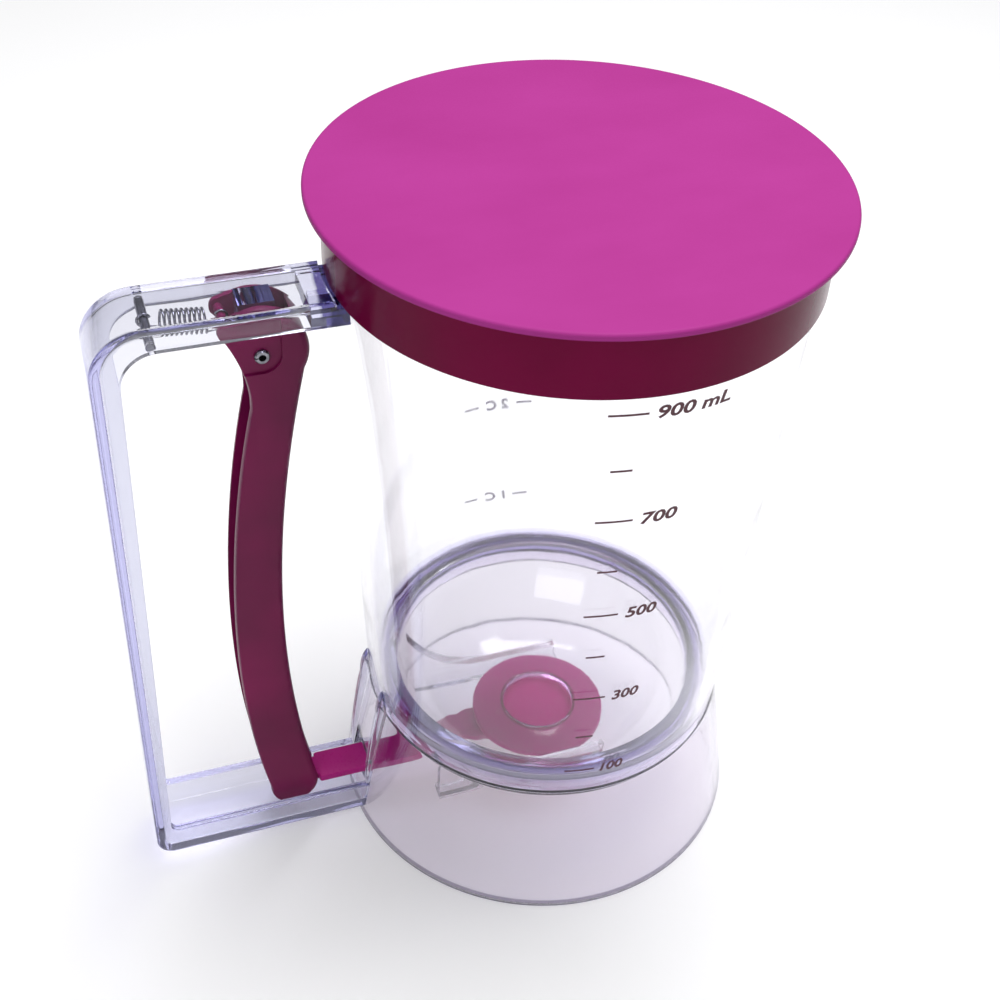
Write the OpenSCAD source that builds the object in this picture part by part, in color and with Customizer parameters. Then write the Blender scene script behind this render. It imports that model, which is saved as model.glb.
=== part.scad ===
// Hand-held batter dispenser: a clear measuring cup with a funnel floor, a squeeze
// lever in a channel handle, a sliding valve under the funnel and a push-on lid.
// Millimetres. The origin is on the table under the cup's axis, +Z is up and the
// handle points along -X. The valve slides along -X as the lever swings about Y.

/* [Cup] */
// Outer radius of the cup at the straight lid seat
mouth_r = 52.5; // [50:0.5:55]
// Outer radius of the cup at its foot, where the base joins it
foot_r = 46.2; // [45.2:0.2:47.4]
// Wall thickness of the cup
cup_wall = 2; // [1.6:0.1:2.2]
// Height of the rim above the table
rim_z = 179.4; // [172:0.2:190]
// Length of the straight lid seat below the rim
seat_len = 16.2; // [12:0.2:19]
// Height of the joint between cup and base above the table
joint_z = 38; // [37:0.5:40]
// Width of the foot ring that carries the funnel
ring_w = 4.8; // [4.2:0.1:5.4]
// Thickness of the foot ring above the joint
ring_t = 3.8; // [3:0.1:5]
// Length of the spigot that locates the cup inside the base
spigot_len = 3; // [3:0.5:9]
// Wall thickness of the spigot
spigot_wall = 2.2; // [1.8:0.1:2.4]

/* [Funnel] */
// Height of the funnel's flat floor above the table
floor_z = 22; // [21:0.2:23]
// Radius of the flat floor
flat_r = 20; // [19:0.5:21]
// Wall and floor thickness of the funnel
funnel_wall = 2; // [1.6:0.1:2.2]
// Radius of the outlet in the floor
outlet_r = 9.6; // [8:0.2:11]
// Thickness of the funnel's flange
flange_t = 2.2; // [1.8:0.1:3]
// Thickness of the rails that carry the valve
rail_t = 2; // [1.6:0.1:2.4]
// Length of a rail on the handle side of the axis
rail_back = 34; // [30:0.5:35]
// Length of a rail on the far side of the axis
rail_front = 12; // [8:0.5:16]

/* [Base] */
// How far the base's foot stands out past the mouth of the cup
base_spread = 0.5; // [-1:0.25:3]
// Wall thickness of the base
base_wall = 2; // [1.6:0.1:2.2]
// Shape of the flare, 1 is a straight cone
flare_power = 0.9; // [0.7:0.05:1.1]

/* [Lid] */
// How far the lid's top stands out past its skirt
lid_overhang = 3.5; // [2:0.25:6]
// Thickness of the lid's top
lid_t = 1.6; // [1.2:0.1:2.4]
// Depth of the lid's skirt below the rim
lid_skirt = 15.6; // [11:0.2:15.8]
// Wall thickness of the lid's skirt
lid_wall = 1.35; // [1.2:0.05:1.6]
// Depth of the locating lip inside the rim
lip_depth = 4; // [2:0.5:6]

/* [Handle] */
// Width of the handle across the grip
handle_w = 17.5; // [17:0.5:22]
// How far the top of the handle lies below the rim
arm_drop = 14.4; // [13.6:0.1:20]
// Distance of the grip's back from the cup axis at the top
grip_reach = 104.2; // [102:0.2:108]
// Distance of the grip's back from the cup axis at the bottom
heel_reach = 107; // [105:0.5:111]
// Height of the handle's bottom above the table
heel_z = 3; // [2:0.2:4]
// Thickness of the handle's outer strap
strap_t = 2.2; // [1.8:0.1:2.4]
// Thickness of the handle's side flanges
cheek_t = 2; // [1.6:0.1:2.2]
// Depth of the flanges in the top arm, outer strap included
top_depth = 5.9; // [5.5:0.1:6.2]
// Depth of the flanges in the upper grip, outer strap included
grip_depth = 6; // [5:0.2:7]
// Depth of the flanges in the lower grip, outer strap included
heel_depth = 4.2; // [3.6:0.2:5]
// Depth of the flanges in the bottom arm, outer strap included
trough_depth = 9; // [8:0.2:9.6]
// Outer corner radius at the top of the grip
shoulder_r = 11.5; // [9:0.5:13]
// Outer corner radius at the bottom of the grip
heel_r = 4.5; // [3.6:0.1:6]
// Height of the fins that brace the bottom arm against base and cup
fin_top = 46; // [43:0.5:50]
// How far the fins stand out from the cup's foot
fin_stand = 1.9; // [1.2:0.1:2.6]
// Rounding of the handle's outer edges
handle_edge = 1.2; // [0.6:0.1:1.6]

/* [Lever] */
// Distance of the pivot from the cup axis
pivot_reach = 69.5; // [68.5:0.5:71]
// How far the pivot lies below the top of the handle
pivot_drop = 12.8; // [12.7:0.1:13.6]
// Radius of the pivot pin
pivot_r = 1.6; // [1.3:0.1:1.8]
// Width of the lever
lever_w = 10.6; // [10:0.1:11]
// Thickness of the lever's cheeks
lever_wall = 1.8; // [1.5:0.1:2]
// Thickness of the lever's finger web
web_t = 2.2; // [1.8:0.1:2.6]
// Radius of the lever's head
head_r = 10.2; // [9.8:0.1:10.3]
// How far the finger side stands grip-ward of the pivot at mid length
finger_bow = 1.7; // [0:0.1:3]
// How far the grip side stands grip-ward of the pivot at mid length
grip_bow = 13; // [11:0.5:14]
// Radius of the lever's foot
lever_foot_r = 6.3; // [6:0.1:6.8]
// Rounding of the lever's long edges on the finger side
finger_round = 1.8; // [1:0.1:1.9]
// Rounding of the lever's long edges on the grip side
grip_round = 0.5; // [0.2:0.1:0.8]

/* [Valve] */
// Radius of the valve disc
valve_r = 18; // [16:0.2:18.4]
// Thickness of the valve disc
valve_t = 2.75; // [2.4:0.05:3]
// Depth of the dish in the disc
dish_depth = 2; // [1:0.1:2.1]
// Width of the link bar
bar_w = 8.6; // [7.6:0.1:10.4]
// Width of its plate under the disc
plate_w = 11; // [10.6:0.1:12.8]
// Thickness of the link bar
bar_t = 2.2; // [2:0.1:2.6]
// Height of the link bar's lower face above the table
bar_z = 12.3; // [11.4:0.1:12.6]
// Height of the link pin above the table
link_z = 14; // [13.8:0.1:14.4]
// Radius of the link pin
link_r = 1.5; // [1.2:0.1:1.6]

/* [Spring] */
// Wire diameter of the return spring
wire_d = 0.55; // [0.4:0.05:0.55]
// Number of coils in the spring's body
spring_coils = 9; // [6:1:10]
// Pitch of the coils
spring_pitch = 1; // [0.98:0.02:1.1]
// Mean radius of the coils
coil_r = 1.75; // [1.4:0.05:1.8]
// Distance from the pivot to the spring's anchor pin
anchor_run = 22.1; // [21:0.1:23]
// Radius of the anchor pin
anchor_r = 1; // [0.8:0.1:1.1]

/* [Hidden] */

$fn = 96;
// Gap of a bonded seam, of a running face and of a part that moves past another
seam = 0.05;
run_gap = 0.25;
move_gap = 0.5;
// Overlap that lets one solid's members fuse
fuse = 0.6;

CLEAR = [0.84, 0.84, 0.95, 0.45];
LID_PINK = [0.76, 0.27, 0.62];
DARK_PINK = [0.37, 0.15, 0.28];
STEEL = [0.62, 0.62, 0.64];

// Driving places worked out from the sizes above
base_r = mouth_r + base_spread;
handle_top = rim_z - arm_drop;
pivot_z = handle_top - pivot_drop;
pivot_x = -pivot_reach;
ring_top = joint_z + ring_t;
ring_r = foot_r - ring_w;
seat_z = rim_z - seat_len;
floor_under = floor_z - funnel_wall;
valve_top = floor_under - run_gap;
valve_under = valve_top - valve_t;
rail_in = valve_r + move_gap;
roof_z = handle_top - strap_t;
arm_under = handle_top - top_depth;
channel_w = handle_w - 2 * cheek_t;
lug_w = lever_w - 2 * lever_wall - 0.8;
lug_r = pivot_r + 2.1;
// Where the spring hooks onto the lever, from the pivot
hook_x = -6.9;
hook_z = 7;
hook_bar_r = 1;
lobe_r = 1.8;
swing = 10;
link_lift = (pivot_z - link_z) * (1 - cos(swing));
// Skin left over the link pin's end on the lever's near face
pin_skin = 0.9;
// Radius of the stub by which the disc sits in the link bar
stub_r = 4;

// ---- curves ----

function bezier(a, b, c, d, n = 12) = [for (i = [0:n]) let (t = i / n, s = 1 - t)
    s*s*s * a + 3*s*s*t * b + 3*s*t*t * c + t*t*t * d];

function arc(centre, r, from, to, n = 12) = [for (i = [0:n]) let (a = from + (to - from) * i / n)
    centre + r * [cos(a), sin(a)]];

function unit(v) = v / norm(v);

// Round one corner b of an outline a-b-c with radius r
function corner(a, b, c, r, n = 8) = let (
    u = unit(a - b), v = unit(c - b), half = acos(u * v) / 2,
    centre = corner_centre(a, b, c, r),
    p = b + u * r / tan(half) - centre, q = b + v * r / tan(half) - centre,
    from = atan2(p[1], p[0]), turn = atan2(p[0]*q[1] - p[1]*q[0], p * q))
    arc(centre, r, from, from + turn, n);

// Centre of the arc that rounds a corner b of an outline a-b-c
function corner_centre(a, b, c, r) = let (u = unit(a - b), v = unit(c - b))
    b + unit(u + v) * r / sin(acos(u * v) / 2);

function reversed(list) = [for (i = [len(list) - 1:-1:0]) list[i]];

// Triangles that close a long narrow ring of n points, numbered from a start, by rungs between
// its two sides: the ring begins and ends at one end of the strip
function rungs(n, start) = [for (i = [0:n / 2 - 2]) each
    [[start + i, start + i + 1, start + n - 2 - i], [start + i, start + n - 2 - i, start + n - 1 - i]]];
function turned(faces) = [for (f = faces) reversed(f)];

// ---- vessel ----

// Outer radius of the base at height z
function base_radius(z) = foot_r + (base_r - foot_r) * pow((joint_z - z) / joint_z, flare_power);
function base_outline(grow = 0, n = 6) = [for (i = [0:n]) let (z = joint_z * i / n) [base_radius(z) + grow, z]];

// Everything inside the vessel's outer surface, grown by a gap, to fit the handle to it
module vessel_envelope(gap) {
    rotate_extrude() polygon(concat([[0, -1], [base_r + gap, -1]], base_outline(gap),
        [[mouth_r + gap, seat_z], [mouth_r + gap, rim_z + 1], [0, rim_z + 1]]));
}

module cup() {
    spigot_r = foot_r - base_wall - seam;
    rim_r = cup_wall / 2;
    color(CLEAR) rotate_extrude() polygon([
        [spigot_r, joint_z], [foot_r, joint_z], [mouth_r, seat_z],
        each arc([mouth_r - rim_r, rim_z - rim_r], rim_r, 0, 180, 8),
        [mouth_r - cup_wall, seat_z], [foot_r - cup_wall + 0.2, ring_top], [ring_r, ring_top],
        [ring_r, joint_z], [spigot_r - spigot_wall, joint_z - spigot_len],
        [spigot_r, joint_z - spigot_len]]);
}

// Inner and outer curves of the bowl, from the flange down to the flat floor
flange_r = foot_r - cup_wall;
bowl_r = ring_r - funnel_wall - 0.3;
function bowl_inside() = bezier([bowl_r, ring_top + flange_t], [bowl_r - 1.6, ring_top - 8],
    [flat_r + 10, floor_z + 2], [flat_r, floor_z], 10);
function bowl_outside() = bezier([bowl_r + funnel_wall, ring_top], [bowl_r + funnel_wall - 1.6, ring_top - 8],
    [flat_r + 11.2, floor_under + 1.8], [flat_r + 0.8, floor_under], 10);

module rail() {
    lip_top = valve_under - 0.15;
    lip_z = lip_top - 1.65;
    length = rail_back + rail_front;
    translate([-rail_back, rail_in, lip_z]) cube([length, rail_t, ring_top - lip_z - 2]);
    translate([-rail_back, rail_in - 2, lip_z]) cube([length, 2 + fuse, 1.65]);
}

module funnel() {
    color(CLEAR) {
        rotate_extrude() polygon(concat([[outlet_r, floor_z]], reversed(bowl_inside()),
            [[flange_r, ring_top + flange_t], [flange_r, ring_top]],
            bowl_outside(), [[outlet_r, floor_under]]));
        difference() {
            union() {
                rail();
                mirror([0, 1, 0]) rail();
            }
            rotate_extrude() polygon(concat([[0, floor_z - fuse]],
                [for (p = reversed(bowl_inside())) p - [0, fuse]], [[bowl_r, rim_z], [0, rim_z]]));
        }
    }
}

module base_skirt() {
    inner = [for (p = reversed(base_outline(-base_wall))) p];
    slot_w = channel_w + 0.6;
    slot_low = bar_z - 1.2;
    slot_high = valve_under + 1.6;
    color(CLEAR) difference() {
        rotate_extrude() polygon(concat(base_outline(), inner));
        translate([-base_r - 1, -slot_w / 2, slot_low]) cube([base_r, slot_w, slot_high - slot_low]);
    }
}

// ---- handle ----

// The handle follows a C in the XZ plane, from the open end of the top arm round the grip to
// the open end of the bottom arm
open_x = -30;

function c_path(top, bottom, x_top, x_bottom, r_top, r_bottom, n = 12) = let (
    a = [open_x, top], b = [-x_top, top], c = [-x_bottom, bottom], d = [open_x, bottom])
    concat([a], corner(a, b, c, r_top, n), corner(b, c, d, r_bottom, n), [d]);

module handle_side(outline, width) {
    rotate([90, 0, 0]) linear_extrude(width, center = true) polygon(outline);
}

// Quarter round in a section: from a place, inwards along a direction, as y runs to its level
function quarter(at, along, r, level, from, to, n = 3) = [for (i = [0:n]) let (a = from + (to - from) * i / n)
    [each (at + along * r * (1 - sin(a))), sign(level) * (abs(level) - r * (1 - cos(a)))]];

// Channel section at one place of the path, as [x, z, y]: outer skin from the near flange's tip
// over the strap to the far flange's tip, then back along the hollow
function channel_section(outer, inner, window) = let (
    inward = unit(inner - outer), deeper = unit(window - inner),
    half = handle_w / 2, hollow = channel_w / 2, soft = 0.8) concat(
    [[each window, -half]], quarter(outer, inward, handle_edge, -half, 0, 90),
    quarter(outer, inward, handle_edge, half, 90, 0), [[each window, half]],
    [[each window, hollow]], quarter(inner, deeper, soft, hollow, 0, 90),
    quarter(inner, deeper, soft, -hollow, 90, 0), [[each window, -hollow]]);

// Skin through closed sections of equal count, closed at both ends
module skin(sections) {
    last = len(sections) - 1;
    n = len(sections[0]);
    points = [for (ring = sections) each [for (p = ring) [p[0], p[2], p[1]]]];
    sides = [for (i = [0:last - 1]) for (k = [0:n - 1]) let (
        a = i * n + k, b = i * n + (k + 1) % n, c = a + n, d = b + n) each [[a, c, b], [b, c, d]]];
    polyhedron(points, concat(sides, rungs(n, 0), turned(rungs(n, last * n))), convexity = 8);
}

module channel_loop() {
    outer = c_path(handle_top, heel_z, grip_reach, heel_reach, shoulder_r, heel_r);
    inner = c_path(handle_top - strap_t, heel_z + strap_t, grip_reach - strap_t, heel_reach - strap_t,
        shoulder_r - strap_t, heel_r - strap_t);
    window = c_path(arm_under, heel_z + trough_depth, grip_reach - grip_depth, heel_reach - heel_depth,
        shoulder_r - 3.5, heel_r / 2);
    skin([for (i = [0:len(outer) - 1]) channel_section(outer[i], inner[i], window[i])]);
}

// Brace between the bottom arm, the base's flare and the foot of the cup
module handle_fin(side) {
    foot = heel_z + trough_depth;
    steps = 8;
    flare = [for (i = [0:steps]) let (z = foot + (joint_z - foot) * i / steps)
        [-base_radius(z) - fin_stand * sqrt(i / steps), z]];
    crest = -foot_r - fin_stand;
    translate([0, side * (handle_w - cheek_t) / 2, 0])
        handle_side(concat([[-base_radius(foot), foot - fuse]], flare,
            [for (i = [1:5]) bezier([crest, joint_z], [crest + 0.1 * fin_stand, (joint_z + fin_top) / 2],
                [crest + 0.4 * fin_stand, fin_top - 1.5], [crest + 1.2 * fin_stand, fin_top], 5)[i]],
            [[open_x, fin_top], [open_x, heel_z + strap_t]]), cheek_t);
}

module pivot_lug() {
    translate([pivot_x - lug_r, -lug_w / 2, pivot_z]) cube([2 * lug_r, lug_w, roof_z + fuse - pivot_z]);
    translate([pivot_x, 0, pivot_z]) rotate([90, 0, 0]) cylinder(r = lug_r, h = lug_w, center = true);
}

anchor_x = pivot_x - anchor_run;
anchor_z = roof_z - 2.2;

module handle_frame() {
    end_block = 7;
    block_w = channel_w + fuse;
    rib_t = 2;
    rib_drop = 2.2;
    color(CLEAR) difference() {
        union() {
            channel_loop();
            pivot_lug();
            // Block that fills the top arm's end against the cup, with a rib under it
            translate([-mouth_r - end_block, -block_w / 2, arm_under])
                cube([end_block + 6, block_w, roof_z + fuse - arm_under]);
            translate([-mouth_r - end_block + 1, -rib_t / 2, arm_under - rib_drop])
                cube([12, rib_t, rib_drop + fuse]);
            handle_fin(1);
            handle_fin(-1);
        }
        vessel_envelope(seam);
        // Room for the lid's skirt above the arm's end
        translate([0, 0, rim_z - lid_skirt - move_gap]) cylinder(r = mouth_r + lid_wall + 1.2, h = 40);
        translate([pivot_x, 0, pivot_z]) rotate([90, 0, 0]) cylinder(r = pivot_r + 0.06, h = lug_w + 2, center = true);
        translate([anchor_x, 0, anchor_z]) rotate([90, 0, 0])
            cylinder(r = anchor_r + 0.02, h = handle_w - 1.4, center = true);
    }
}

// ---- lever ----

finger_edge = bezier([pivot_x + head_r * cos(28), pivot_z - head_r * sin(28)],
    [pivot_x - finger_bow + 0.2, pivot_z - 52], [pivot_x - finger_bow - 0.2, link_z + 43],
    [pivot_x + lever_foot_r, link_z + 1], 20);
grip_edge = bezier([pivot_x - 3.1, pivot_z - 13.6], [pivot_x - grip_bow + 1.9, pivot_z - 48],
    [pivot_x - grip_bow - 1.8, link_z + 42], [pivot_x - lever_foot_r, link_z + 1], 20);

// Outline of a cheek: head, finger edge, foot, grip edge, and the horn that holds the spring
function cheek_outline() = let (p = [pivot_x, pivot_z], hook = p + [hook_x, hook_z]) concat(
    reversed(arc(p, head_r, -26, 112, 16)), finger_edge,
    arc([pivot_x, link_z], lever_foot_r, -5, -175, 12), reversed(grip_edge),
    bezier(p + [-3.05, -12], p + [-2.9, -6], p + [-5.4, 1], p + [hook_x - 1.2, hook_z - 1.35], 8),
    arc(hook, lobe_r, 220, 100, 8));

// Slab between the cheeks' outer faces. Its edges are round, wider where the outline faces
// the fingers than where it faces the grip
module rounded_slab(ring, width, steps = 4) {
    n = len(ring);
    normals = [for (i = [0:n - 1]) let (d = unit(ring[(i + 1) % n] - ring[(i + n - 1) % n])) [-d[1], d[0]]];
    widths = [for (v = normals) grip_round + (finger_round - grip_round) * min(1, max(0, 1.1 * v[0] + 0.2))];
    levels = concat([for (j = [0:steps]) [90 * j / steps, 1]], [for (j = [steps:-1:0]) [90 * j / steps, -1]]);
    last = len(levels) - 1;
    points = [for (l = levels) for (i = [0:n - 1]) let (
        p = ring[i] - (1 - sin(l[0])) * widths[i] * normals[i])
        [p[0], l[1] * (width / 2 - finger_round * (1 - cos(l[0]))), p[1]]];
    sides = [for (j = [0:last - 1]) for (i = [0:n - 1]) let (
        a = j * n + i, b = j * n + (i + 1) % n, c = a + n, d = b + n) each [[a, b, d], [a, d, c]]];
    polyhedron(points, concat(sides, turned(rungs(n, 0)), rungs(n, last * n)), convexity = 8);
}

// Shallow recess about the pivot in both cheeks
module pivot_recess() {
    deep = 0.6;
    reach = 4.2;
    past = head_r + 2;
    panel = [each arc([0, 0], reach, -90, 0, 10), [reach, past], [-past, past], [-past, -reach]];
    for (side = [-1, 1]) translate([pivot_x, side * lever_w / 2, pivot_z])
        handle_side(panel, 2 * deep);
}

module lever() {
    web_low = link_z + 8;
    hollow = concat([[pivot_x + head_r - web_t - 1.2, pivot_z + 20]],
        [[pivot_x + head_r - web_t - 1.2, pivot_z - 2]],
        [for (p = finger_edge) if (p[1] > web_low && p[1] < pivot_z - 6) p - [web_t, 0]],
        [[pivot_x + lever_foot_r - web_t - 1.6, web_low], [pivot_x + 20, web_low], [pivot_x + 20, 0],
         [pivot_x - 30, 0], [pivot_x - 30, pivot_z + 20]]);
    color(DARK_PINK) difference() {
        union() {
            difference() {
                rounded_slab(cheek_outline(), lever_w);
                handle_side(hollow, lever_w - 2 * lever_wall);
                pivot_recess();
            }
            translate([pivot_x + hook_x, 0, pivot_z + hook_z]) rotate([90, 0, 0])
                cylinder(r = hook_bar_r, h = lever_w - lever_wall, center = true);
        }
        translate([pivot_x, 0, pivot_z]) rotate([90, 0, 0])
            cylinder(r = pivot_r + 0.02, h = lever_w + 2, center = true);
        translate([pivot_x, pin_skin / 2 + 1, link_z]) rotate([90, 0, 0])
            cylinder(r = link_r + 0.02, h = lever_w - pin_skin + 2, center = true);
    }
}

module cross_pin(r, length, bore = 0) {
    edge = 0.3;
    rotate([90, 0, 0]) difference() {
        rotate_extrude() polygon([[0, -length/2], [r - edge, -length/2], [r, -length/2 + edge],
            [r, length/2 - edge], [r - edge, length/2], [0, length/2]]);
        // A roll pin is a tube with a slit along it
        if (bore > 0) {
            cylinder(r = bore, h = length + 2, center = true);
            translate([-r - 1, -0.2, -length / 2 - 1]) cube([r + 1, 0.4, length + 2]);
        }
    }
}

module pivot_pin() {
    color(STEEL) translate([pivot_x, 0, pivot_z]) cross_pin(pivot_r, lever_w + 0.6, pivot_r - 0.8);
}

module link_pin() {
    color(STEEL) translate([pivot_x, pin_skin / 2, link_z]) cross_pin(link_r, lever_w - pin_skin);
}

module spring_anchor_pin() {
    color(STEEL) translate([anchor_x, 0, anchor_z]) cross_pin(anchor_r, handle_w - 1.6);
}

// ---- valve ----

module link_bar() {
    plate_z = valve_under - bar_t;
    ramp_from = -30.5;
    ramp_to = -24.5;
    wide_from = pivot_x + lever_foot_r + move_gap;
    tip = 8;
    lug_half = link_r + 2.4;
    lug_low = link_z - link_r - 2.1;
    lug_top = link_z + link_lift + link_r + 1.8;
    slot_half = link_r + 0.25;
    tongue_w = lever_w - 2 * lever_wall - 0.8;
    side = [[wide_from, bar_z], [ramp_from, bar_z], [ramp_to, plate_z], [0, plate_z], [0, valve_under],
        [ramp_to - 0.8, valve_under], [ramp_from - 0.8, bar_z + bar_t], [wide_from, bar_z + bar_t]];
    color(DARK_PINK) difference() {
        union() {
            handle_side(side, bar_w);
            translate([ramp_to + plate_w / 2, -plate_w / 2, plate_z])
                cube([tip - ramp_to - plate_w, plate_w, bar_t]);
            for (x = [ramp_to + plate_w / 2, tip - plate_w / 2])
                translate([x, 0, plate_z]) cylinder(r = plate_w / 2, h = bar_t);
            translate([pivot_x, -tongue_w / 2, bar_z])
                cube([wide_from - pivot_x + fuse, tongue_w, bar_t]);
            translate([pivot_x - lug_half, -tongue_w / 2, lug_low])
                cube([2 * lug_half, tongue_w, lug_top - lug_low]);
        }
        // Upright slot in which the link pin rises as the lever swings
        for (z = [link_z, link_z + link_lift + 0.1]) translate([pivot_x, 0, z]) rotate([90, 0, 0])
            cylinder(r = slot_half, h = tongue_w + 2, center = true);
        translate([pivot_x - slot_half, -tongue_w, link_z]) cube([2 * slot_half, 2 * tongue_w, link_lift + 0.1]);
        // Seat of the disc's stub
        cylinder(r = stub_r, h = 40);
    }
}

module valve_disc() {
    dish_r = outlet_r - 0.2;
    edge = 0.5;
    floor_r = dish_r - 3;
    color(DARK_PINK) rotate_extrude() polygon(concat(
        [[0, valve_under - bar_t], [stub_r - seam, valve_under - bar_t], [stub_r - seam, valve_under],
         [valve_r - edge, valve_under], [valve_r, valve_under + edge], [valve_r, valve_top - edge],
         [valve_r - edge, valve_top]],
        bezier([dish_r, valve_top], [dish_r - 0.4, valve_top - dish_depth * 0.8],
            [floor_r, valve_top - dish_depth], [0, valve_top - dish_depth], 8)));
}

// ---- return spring ----

// The spring's own frame: u runs from the anchor pin to the lever's hook bar, n is up across it
spring_a = [anchor_x, 0, anchor_z];
spring_b = [pivot_x + hook_x, 0, pivot_z + hook_z];
spring_len = norm(spring_b - spring_a);
spring_u = unit(spring_b - spring_a);
spring_n = [-spring_u[2], 0, spring_u[0]];
function spring_point(s, up, side) = spring_a + s * spring_u + up * spring_n + side * [0, 1, 0];

body_len = spring_coils * spring_pitch;
body_from = (spring_len - body_len) / 2;
coil_steps = 8;

// Wire path: a hook round the anchor pin, the coiled body, a hook round the lever's bar
function hook_path(s, r, from, to) = [for (i = [0:7]) let (a = from + (to - from) * i / 7)
    spring_point(s + r * cos(a), r * sin(a), 0)];
function wire_path() = let (ra = anchor_r + wire_d * 0.6, rb = hook_bar_r + wire_d * 0.6) concat(
    hook_path(0, ra, 30, 290),
    [for (i = [0:spring_coils * coil_steps]) let (a = -90 + 360 * i / coil_steps)
        spring_point(body_from + body_len * i / (spring_coils * coil_steps), coil_r * sin(a), coil_r * cos(a))],
    hook_path(spring_len, rb, 250, 510));

// Tube of six sides swept along a path, with frames carried from ring to ring
module tube(path, r, sides = 6) {
    last = len(path) - 1;
    tangents = [for (i = [0:last]) unit(path[min(i + 1, last)] - path[max(i - 1, 0)])];
    normals = [for (i = 0, v = unit(cross(tangents[0], [0, 1, 0])); i <= last;
        i = i + 1, v = unit(v - (v * tangents[min(i, last)]) * tangents[min(i, last)])) v];
    points = [for (i = [0:last]) let (t = tangents[i], v = unit(normals[i] - (normals[i] * t) * t), w = cross(t, v))
        for (k = [0:sides - 1]) path[i] + r * (cos(360 * k / sides) * v + sin(360 * k / sides) * w)];
    side_faces = [for (i = [0:last - 1]) for (k = [0:sides - 1]) let (
        a = i * sides + k, b = i * sides + (k + 1) % sides, c = a + sides, d = b + sides)
        each [[a, c, b], [b, c, d]]];
    caps = [for (k = [1:sides - 2]) each [[0, k, k + 1],
        [last * sides, last * sides + k + 1, last * sides + k]]];
    polyhedron(points, concat(side_faces, caps), convexity = 10);
}

// Least gap between stretches of the wire that aren't neighbours on it
function least_gap(path) = let (last = len(path) - 1)
    min([for (i = [0:last - 5]) for (j = [i + 5:last]) norm(path[i] - path[j])]) - wire_d;

module return_spring() {
    echo(least_gap = least_gap(wire_path()));
    color(STEEL) tube(wire_path(), wire_d / 2);
}

// ---- lid ----

module lid() {
    skirt_r = mouth_r + 0.15;
    skirt_z = rim_z - lid_skirt;
    lip_r = mouth_r - cup_wall - 0.3;
    top = rim_z + lid_t;
    lid_r = skirt_r + lid_wall + lid_overhang;
    edge = 0.5;
    color(LID_PINK) rotate_extrude() polygon([
        [0, rim_z], [lip_r - 1.2, rim_z], [lip_r - 1.2, rim_z - lip_depth], [lip_r - 0.4, rim_z - lip_depth],
        [lip_r, rim_z - lip_depth + 0.8], [lip_r, rim_z], [skirt_r, rim_z], [skirt_r, skirt_z + 0.3],
        [skirt_r + 0.3, skirt_z], [skirt_r + lid_wall, skirt_z], [skirt_r + lid_wall, rim_z],
        [lid_r - 0.2, rim_z], [lid_r, rim_z + 0.2], [lid_r, top - edge],
        each arc([lid_r - edge, top - edge], edge, 15, 90, 5), [0, top]]);
}

cup();
funnel();
base_skirt();
handle_frame();
spring_anchor_pin();
return_spring();
lever();
pivot_pin();
link_pin();
link_bar();
valve_disc();
lid();
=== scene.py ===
"""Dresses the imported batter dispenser: clear cup, base and handle, plum lever and valve, pink lid.

Every length in this file is in millimetres where nothing else is said, in the frame of the CAD
model: the origin is on the table under the cup's axis, +Z is up and the handle points along -X.
Meshes are scaled to metres when they are made.
"""

from __future__ import annotations

import logging
import math
from collections.abc import Sequence
from dataclasses import dataclass, field
from enum import Enum

import bmesh
import bpy
import numpy as np
from mathutils import Matrix, Vector

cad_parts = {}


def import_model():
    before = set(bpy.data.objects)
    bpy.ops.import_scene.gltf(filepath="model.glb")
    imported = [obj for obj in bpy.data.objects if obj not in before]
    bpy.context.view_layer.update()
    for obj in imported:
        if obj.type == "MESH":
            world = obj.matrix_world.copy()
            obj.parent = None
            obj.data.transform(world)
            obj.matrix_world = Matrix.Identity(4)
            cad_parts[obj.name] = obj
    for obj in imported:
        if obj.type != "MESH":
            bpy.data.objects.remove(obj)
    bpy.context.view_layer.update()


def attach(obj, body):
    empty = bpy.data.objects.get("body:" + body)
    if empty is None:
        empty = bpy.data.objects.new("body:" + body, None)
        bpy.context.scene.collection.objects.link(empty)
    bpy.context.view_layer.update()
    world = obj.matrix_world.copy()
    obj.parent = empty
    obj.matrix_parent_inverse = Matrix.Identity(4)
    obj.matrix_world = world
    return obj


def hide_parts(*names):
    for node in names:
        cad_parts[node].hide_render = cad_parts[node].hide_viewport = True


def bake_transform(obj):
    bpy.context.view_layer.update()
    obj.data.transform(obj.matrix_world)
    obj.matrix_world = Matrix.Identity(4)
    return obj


LOG = logging.getLogger("batter_dispenser")
MM = 0.001

Array = np.ndarray
Pair = tuple[float, float]
Triple = tuple[float, float, float]
Colour = Triple
Item = bpy.types.Object
Socket = bpy.types.NodeSocket

WHITE: Colour = (1.0, 1.0, 1.0)
PLASTIC_IOR = 1.49
SHARP = 32.0  # degrees: an edge that turns by more stays sharp
SQUARE = 0.001  # chamfer of a cutter whose ends are to stay square

# Places in X and Z that several pieces are built on.
PIVOT: Pair = (-69.5, 152.2)
LINK: Pair = (-69.5, 14.0)
ANCHOR: Pair = (-91.6, 160.6)
HORN: Pair = (-76.4, 159.2)


class Body(Enum):
    """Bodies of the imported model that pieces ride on."""

    ROOT = "root"
    LEVER = "lever"
    VALVE = "valve"
    LID = "lid"


class Slot(Enum):
    """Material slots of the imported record."""

    CUP = "clear_cup"
    FUNNEL = "clear_funnel"
    BASE = "clear_base"
    HANDLE = "clear_handle"
    STEEL = "steel"
    SPRING = "spring_steel"
    LEVER = "plum_plastic"
    LINK = "link_plastic"
    VALVE = "valve_plastic"
    LID = "lid_plastic"


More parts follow.
